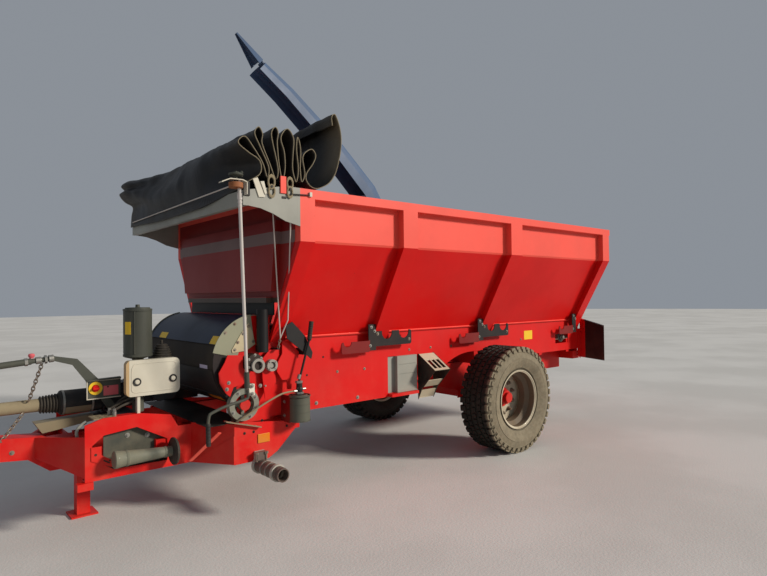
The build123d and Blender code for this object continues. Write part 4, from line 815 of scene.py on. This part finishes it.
fittingLook = {
    "switchRing": ([(hoop, switch, left, 0.026, 0.047, 0.006)], "red_paint", "yellow", 0.001),
    "switchKnob": ([(turned, ((0, 0), (0.0255, 0), (0.0255, 0.01), (0.021, 0.015), (0, 0.016)),
                     switch, left, 28),
                    (block, (3.711, 0.266, 0.952), (3.755, 0.282, 0.966))], "red_paint", None, 0.0012),
    "panelHole": ([(rod, (3.649, 0.2534, 0.962), (3.649, 0.2544, 0.962), 0.006)], "black_paint"),
    "knobRings": ([(hoop, spot, left, 0.018, 0.029, 0.006) for spot in knobs], "black_plastic", None, 0.001),
    "knobs": ([(turned, ((0, 0), (0.0175, 0), (0.0175, 0.008), (0.013, 0.012), (0, 0.0125)), spot, left, 24)
               for spot in knobs], "cover_plastic", None, 0.0008),
    "towerPlate": ([(bowed, (3.468, 0.35, 0), "Z", (0.0958, 0.0972), (12, 44), (1.344, 1.435), 10)],
                   "red_paint", "yellow"),
    "gussets": ([(plate, ((2.9, side * 0.752, 0.562), (2.9, side * 0.752, 0.35), (3.105, side * 0.45, 0.35)),
                  (0.0066, side * 0.0045, 0)) for side in both], "red_paint"),
    # painted sunlight: the gussets' lips in the lighter, sunlit red
    "gussetLips": ([(plate, ((2.977, side * 0.7, 0.589), (3.121, side * 0.5, 0.366),
                             (3.158, side * 0.526, 0.378), (3.014, side * 0.726, 0.601)),
                     (0.004, 0, 0.006)) for side in both],
                   "red_paint", "sunRed", 0.001),
    "windowPlate": ([(sideCut, ((3.72, 0.651), (3.472, 0.69), (3.276, 0.56), (3.276, 0.372), (3.72, 0.372)),
                      0.394, 0.402),
                     *[(rod, (x, 0.402, 0.38), (x, 0.4385, 0.38), 0.012) for x in (3.283, 3.712)]],
                    "grey_paint", "darkGrey", 0.001),
    "slotPlate": ([(sideCut, ((3.664, 0.42), (3.812, 0.49), (3.812, 0.583), (3.745, 0.583), (3.745, 0.52),
                              (3.664, 0.47)), 0.45, 0.456)], "red_paint", None, 0.001),
    "plateSlots": ([(rod, (3.783, 0.456, 0.53), (3.783, 0.4572, 0.53), 0.009),
                    (block, (3.688, 0.456, 0.47), (3.698, 0.4572, 0.48)),
                    (sideCut, ((3.695, 0.455), (3.735, 0.48), (3.731, 0.488), (3.691, 0.463)), 0.4558, 0.4573)],
                   "black_paint"),
    "pipeBands": ([(hoop, (2.7, y, 0.312), left, 0.0525, 0.0575, 0.018, 40) for y in (0.862, 0.935)],
                  "zinc", None, 0.001),
    "clampKnobs": ([(rod, (x, y, low), (x, y, high), radius, sides) for x, y in ((2.742, 0.8), (2.668, 0.812))
                    for low, high, radius, sides in ((0.35, 0.405, 0.01, 10), (0.405, 0.422, 0.018, 6))],
                   "worn_steel", None, 0.001),
    "canBeads": ([(hoop, (2.388, 0.85, low), up, 0.082, radius, thick, 48) for low, thick, radius in
                  ((0.619, 0.01, 0.0868), (0.69, 0.005, 0.0852), (0.752, 0.005, 0.0852), (0.812, 0.013, 0.088))],
                 "black_plastic", "darkGrey", 0.001),
    "pumpFittings": ([(rod, (2.388, 0.85, 0.832), (2.388, 0.85, 0.848), 0.034, 6),
                      (rod, (2.388, 0.85, 0.872), (2.388, 0.85, 0.886), 0.026, 6),
                      (rod, (2.392, 0.85, 0.918), (2.392, 0.85, 0.936), 0.03, 6),
                      (rod, (2.388, 0.85, 0.855), (2.44, 0.85, 0.858), 0.011, 8),
                      (rod, (2.33, 0.85, 0.868), (2.36, 0.85, 0.868), 0.009, 8),
                      (rod, (2.396, 0.85, 0.95), (2.384, 0.85, 0.985), 0.015, 12)], "zinc", None, 0.001),
    "guardBands": ([(hoop, (x, 0, 0.845), ahead, 0.087, radius, 0.014, 48)
                    for x, radius in ((3.7, 0.0915), (3.89, 0.091))], "zinc", None, 0.0008),
    "guardDust": ([(bowed, (0, 0, 0.845), "X", (0.0878, 0.0893), (-150, -18), (3.716, 3.888), 20)],
                  "black_plastic", "dusty"),
    "couplingCap": ([(turned, ((0, 0), (0.012, 0), (0.014, 0.006), (0.019, 0.012), (0.021, 0.022),
                               (0.015, 0.031), (0, 0.033)), (4.127, 0.232, 1.205), up, 24)], "red_paint", "pink"),
    "hoseEnds": ([(rod, (x, y, low), (x, y, high), radius, sides) for x, y, z in hoseTops
                  for low, high, radius, sides in ((0.77, z - 0.012, 0.015, 12), (z - 0.012, z + 0.01, 0.012, 6))],
                 "zinc", None, 0.001),
    "crankDrum": ([(hoop, (3.1, 1.21, 2.338), up, 0.011, 0.048, 0.036, 40)], "red_paint", "drum", 0.003),
    "crankDisc": ([(turned, ((0, 0), (0.047, 0), (0.049, 0.004), (0.049, 0.01), (0.046, 0.014), (0, 0.014)),
                    (3.1, 1.21, 2.422), up, 36), (rod, (3.1, 1.21, 2.374), (3.1, 1.21, 2.45), 0.012, 16),
                   (rod, (3.09, 1.21, 2.436), (3.09, 1.21, 2.448), 0.014, 6),
                   (rod, (3.058, 1.21, 2.418), (3.058, 1.21, 2.458), 0.006, 10),
                   (rod, (3.058, 1.21, 2.444), (3.058, 1.21, 2.453), 0.011, 6)],
                  "grey_paint", "darkGrey", 0.0008),
    "crankStrap": ([(sideCut, ((3.211, 2.36), (3.15, 2.389), (3.06, 2.391), (3.026, 2.379), (3.026, 2.386),
                               (3.058, 2.398), (3.15, 2.396), (3.211, 2.368)), 1.186, 1.236),
                    (block, (3.026, 1.179, 2.3), (3.0315, 1.236, 2.386))], "cover_plastic", None, 0.001),
    "headBrackets": ([(sideCut, ((2.961, 2.422), (2.925, 2.436), (2.868, 2.311), (2.871, 2.303), (2.916, 2.3)),
                       1.1785, 1.188),
                      (sideCut, ((2.906, 2.41), (2.878, 2.414), (2.856, 2.33), (2.872, 2.325)), 1.1785, 1.194)],
                     "cover_plastic", None, 0.001),
    "headLinks": ([(link, Vector((x, 1.188, z)), Vector(up), Vector(left), size) for x, z, size in
                   ((2.818, 2.418, 0.026), (2.816, 2.352, 0.024), (2.667, 2.424, 0.024), (2.667, 2.36, 0.022))],
                  "worn_steel", "dusty", 0, 60),
    "headLink": ([(rod, (2.667, 1.19, 2.346), (2.5, 1.19, 2.356), 0.005, 10),
                  *[(rod, (x, 1.176, 2.384), (x, 1.2, 2.384), 0.009, 10) for x in (2.818, 2.667)]],
                 "black_paint"),
    "chainBearings": ([(turned, ((0, 0), (0.062, 0), (0.062, 0.01), (0.046, 0.014), (0.04, 0.03), (0.02, 0.034),
                                 (0, 0.034)), (-1.6, side * 0.7, 1.062), (0, side, 0), 32) for side in both],
                      "grey_paint", "darkGrey", 0.001),
    "chainShaft": ([(turned, ((0, 0), (0.02, 0), (0.02, 0.047), (0.017, 0.05), (0, 0.05)),
                     (-1.6, side * 0.7, 1.062), (0, side, 0), 24) for side in both], "zinc"),
}

for name, (parts, *look) in fittingLook.items():
    shape(name, parts, *look)

# Pipes, each along a smooth line near its points: radius, material, paint, points

pipeLook = {
    "coverBead": (0.003, "cover_plastic", None, [(x, 0.455, z) for x, z in (
        (3.545, 1.06), (3.545, 1.132), (3.47, 1.132), (3.3, 1.132), (3.222, 1.132), (3.222, 1.06), (3.222, 0.985),
        (3.222, 0.925), (3.29, 0.925), (3.47, 0.925), (3.545, 0.925), (3.545, 0.985), (3.545, 1.06))]),
    "greyPipe": (0.011, "grey_paint", None, (
        (3.82, 0.36, 0.748), (3.87, 0.36, 0.722), (3.885, 0.36, 0.67), (3.862, 0.36, 0.61), (3.836, 0.37, 0.56),
        (3.825, 0.42, 0.53))),
    "greasePipe": (0.007, "grey_paint", "dusty", (
        (2.42, 0.85, 0.858), (2.513, 0.85, 0.859), (2.581, 0.85, 0.842), (2.704, 0.846, 0.791),
        (2.8, 0.822, 0.735), (2.875, 0.79, 0.686), (2.89, 0.766, 0.672))),
    "crankArm": (0.011, "black_paint", "darkGrey", (
        (2.864, 0.9, 0.925), (2.858, 0.9, 0.876), (2.872, 0.9, 0.854), (3.031, 0.9, 0.829), (3.146, 0.9, 0.792),
        (3.166, 0.9, 0.776), (3.17, 0.9, 0.715))),
    "valvePipe1": (0.009, "black_rubber", None, (
        hoseTops[0], (3.59, 0.315, 0.862), (3.5, 0.325, 0.905), (3.352, 0.325, 0.96))),
    "valvePipe2": (0.009, "black_rubber", None, (
        hoseTops[1], (3.6, 0.35, 0.85), (3.5, 0.355, 0.88), (3.352, 0.352, 0.93))),
    "valvePipe3": (0.009, "black_rubber", None, (
        hoseTops[2], (3.59, 0.38, 0.834), (3.5, 0.372, 0.855), (3.352, 0.372, 0.92))),
}

for name, (radius, slot, paint, points) in pipeLook.items():
    pipe(name, points, radius, slot, paint)
print("fittings and pipes made")

# Side of the blower: the valve's ribbed boot, the tower's bands, the stowed cylinder and the can's lever

sideLook = {
    "boot": (3.285, 0.326, 1.15), "bootRibs": 5,
    "tower": (3.468, 0.35), "towerBands": (1.18, 1.512),
    "towerTies": (1.2, 1.51), "tieAngles": (60, 150, 240, 330), "tieCircle": 0.0975,
    "cylinderHead": (3.291, 0.534, 0.484), "cylinderEnd": (3.689, 0.534, 0.493),
    "disc": ((0, -0.024), (0.092, -0.024), (0.099, -0.016), (0.099, -0.006), (0.09, 0.001), (0, 0.001)),
    "lever": ((2.289, 0.85, 1.262), (2.268, 0.85, 1.404)), "leverRibs": 10, "leverRadius": 0.0195,
}


def makeSideParts(look):
    boot = [(0, 0), (0.076, 0)]
    for i in range(look["bootRibs"]):
        low, wide = 0.006 + i * 0.018, 0.078 - i * 0.006
        boot += [(wide, low), (wide, low + 0.007), (wide - 0.012, low + 0.01), (wide - 0.012, low + 0.015)]
    boot += [(0.044, 0.098), (0.036, 0.106), (0, 0.106)]
    x, y, z = look["boot"]
    shape("valveBoot", [(turned, boot, (x, y, z), up, 28), (rod, (x, y, z + 0.1), (x, y, z + 0.135), 0.009)],
          "black_rubber", smooth=50)
    x, y = look["tower"]
    bands = [(hoop, (x, y, height), up, 0.094, 0.101, 0.016, 40) for height in look["towerBands"]]
    low, high = look["towerTies"]
    for angle in look["tieAngles"]:
        tieX = x + look["tieCircle"] * math.cos(math.radians(angle))
        tieY = y + look["tieCircle"] * math.sin(math.radians(angle))
        bands.append((rod, (tieX, tieY, low), (tieX, tieY, high), 0.004, 8))
    shape("towerBands", bands, "black_paint", "darkGrey", 0.001)
    head, end = Vector(look["cylinderHead"]), Vector(look["cylinderEnd"])
    length = (end - head).length
    disc = (turned, look["disc"], head + Vector((0, 0.016, 0)), end - head, 48)
    shape("stowedDisc", [disc], "black_rubber", smooth=40)
    body = [(0, 0), (0.037, 0), (0.037, 0.03), (0.04, 0.034), (0.04, 0.052), (0.037, 0.056), (0.046, 0.2),
            (0.052, 0.3), (0.056, 0.305), (0.056, 0.32), (0.053, 0.325), (0.058, length - 0.03),
            (0.06, length - 0.026), (0.06, length - 0.004), (0.056, length), (0, length)]
    made = shape("stowedBody", [(turned, body, head, end - head, 48)], "grey_paint", "stowed")
    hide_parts("stowed_cylinder")
    low, high = (Vector(spot) for spot in look["lever"])
    starts = [low.lerp(high, (i + 0.15) / look["leverRibs"]) for i in range(look["leverRibs"])]
    ribs = [(rod, start, start + (high - low) * 0.065, look["leverRadius"], 18) for start in starts]
    shape("leverGrip", ribs, "black_rubber", bevel=0.0012)


makeSideParts(sideLook)
print("side parts made")

# Taut ropes with their short chain, and the chains at the hitch

rigLook = {
    "rope": 0.005,
    "ropes": (((2.528, 0.8, 1.281), (2.789, 1.14, 2.36)), ((2.528, 0.8, 1.281), (2.497, 0.865, 1.424)),
              ((2.497, 0.865, 1.424), (2.649, 1.165, 2.161)), ((2.649, 1.165, 2.161), (2.664, 1.17, 2.335)),
              ((3.112, 1.19, 2.358), (3.056, -1.1, 2.352))),
    "chains": (((2.528, 0.8, 1.285), (2.548, 0.8, 1.204), 0.009),
               ((4.06, 0.232, 1.18), (4.115, 0.048, 0.888), 0.012),
               ((4.15, 0.048, 0.805), (4.283, 0.082, 0.64), 0.012)),
}


def makeRigging(look):
    for i, (start, end) in enumerate(look["ropes"]):
        shape(f"rope{i + 1}", [(rod, start, end, look["rope"], 10)], "grey_paint", "cable")
    for i, (start, end, size) in enumerate(look["chains"]):
        start, end = Vector(start), Vector(end)
        along = (end - start).normalized()
        flat = along.orthogonal().normalized()
        count = round((end - start).length / (size * 2.6))
        links = [(link, start.lerp(end, (k + 0.5) / count), along, flat if k % 2 else along.cross(flat), size)
                 for k in range(count)]
        shape(f"chain{i + 1}", links, "worn_steel", smooth=60)


makeRigging(rigLook)

# Hitch: dusty shaft tube, ribbed bellows, the bar that carries the hoses and its couplings

hitchLook = {
    "shaftHeight": 0.845, "tube": (4.046, 4.598), "bellows": (3.914, 4.048), "ribs": 7,
    "bar": ((3.99, 0.232, 1.196), (4.399, 0.232, 1.16)),
    "couplings": ((3.995, 0.03, 0.026), (4.035, 0.016, 0.03), (4.07, 0.034, 0.024), (4.15, 0.02, 0.027)),
}


def makeHitch(look):
    z, (start, end) = look["shaftHeight"], look["tube"]
    length = end - start
    sleeve = [(0.0355, 0), (0.046, 0), (0.046, length - 0.03), (0.05, length - 0.026), (0.05, length),
              (0.0355, length), (0.0355, 0)]
    shape("shaftSleeve", [(turned, sleeve, (start, 0, z), ahead, 40)], "black_plastic", "dusty")
    start, end = look["bellows"]
    pitch = (end - start) / look["ribs"]
    bellows = [(0.046, 0)]
    for i in range(look["ribs"]):
        wide = 0.072 - 0.012 * i / look["ribs"]
        bellows += [(wide - 0.012, pitch * i), (wide, pitch * (i + 0.3)), (wide, pitch * (i + 0.55)),
                    (wide - 0.012, pitch * (i + 0.9))]
    bellows += [(0.046, end - start), (0.046, 0)]
    shape("shaftBellows", [(turned, bellows, (start, 0, z), ahead, 40)], "black_rubber", smooth=50)
    low, high = (Vector(spot) for spot in look["bar"])
    way = (high - low).normalized()
    reach = (high - low).length - 0.002
    bar = [(0, 0.14), (0.022, 0.14), (0.022, reach), (0, reach)]
    shape("supportBar", [(turned, bar, low, way, 24)], "grey_paint", "darkGrey", 0.001)
    couplings = []
    for x, long, radius in look["couplings"]:
        spot = low + way * (x - look["bar"][0][0])
        couplings.append((rod, spot, spot + way * long, radius, 24 if radius < 0.027 else 6))
    shape("couplings", couplings, "zinc", bevel=0.0012)


makeHitch(hitchLook)
print("rigging and hitch made")

# Cover's crank: tube, sleeve and grip

crankLook = {
    "tube": ((3.077, 1.21, 2.4), (2.868, 0.9, 0.94)), "tubeRadius": 0.012,
    "collars": ((0.062, 0.09, 0.017), (0.098, 0.106, 0.015), (0.118, 0.122, 0.014)),
    "sleeve": (0.925, 1.0, 0.02),
    "grip": ((3.17, 0.9, 0.722), (3.167, 0.9, 0.562)), "gripRings": 6,
}


def makeCrank(look):
    high, low = (Vector(spot) for spot in look["tube"])

    def collar(start, end, radius, sides=20):
        return (rod, high.lerp(low, start), high.lerp(low, end), radius, sides)

    tube = [(rod, high, low, look["tubeRadius"], 24)] + [collar(*row) for row in look["collars"]]
    made = shape("crankTube", tube, "zinc", "crank", 0.001)
    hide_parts("tarp_crank")
    start, end, radius = look["sleeve"]
    sleeve = [collar(start, end, radius, 24), collar(start - 0.008, start, radius - 0.003, 24)]
    shape("crankSleeve", sleeve, "black_paint", "darkGrey", 0.001)
    top, foot = (Vector(spot) for spot in look["grip"])
    length = (foot - top).length
    grip = [(0, 0), (0.013, 0)]
    for i in range(look["gripRings"]):
        along = 0.008 + i * (length - 0.02) / look["gripRings"]
        grip += [(0.0172, along), (0.0172, along + 0.017), (0.0158, along + 0.019), (0.0158, along + 0.021)]
    grip += [(0.0165, length - 0.004), (0.012, length), (0, length)]
    shape("crankGrip", [(turned, grip, top, foot - top, 24)], "black_plastic", smooth=40)


makeCrank(crankLook)
print("crank made")
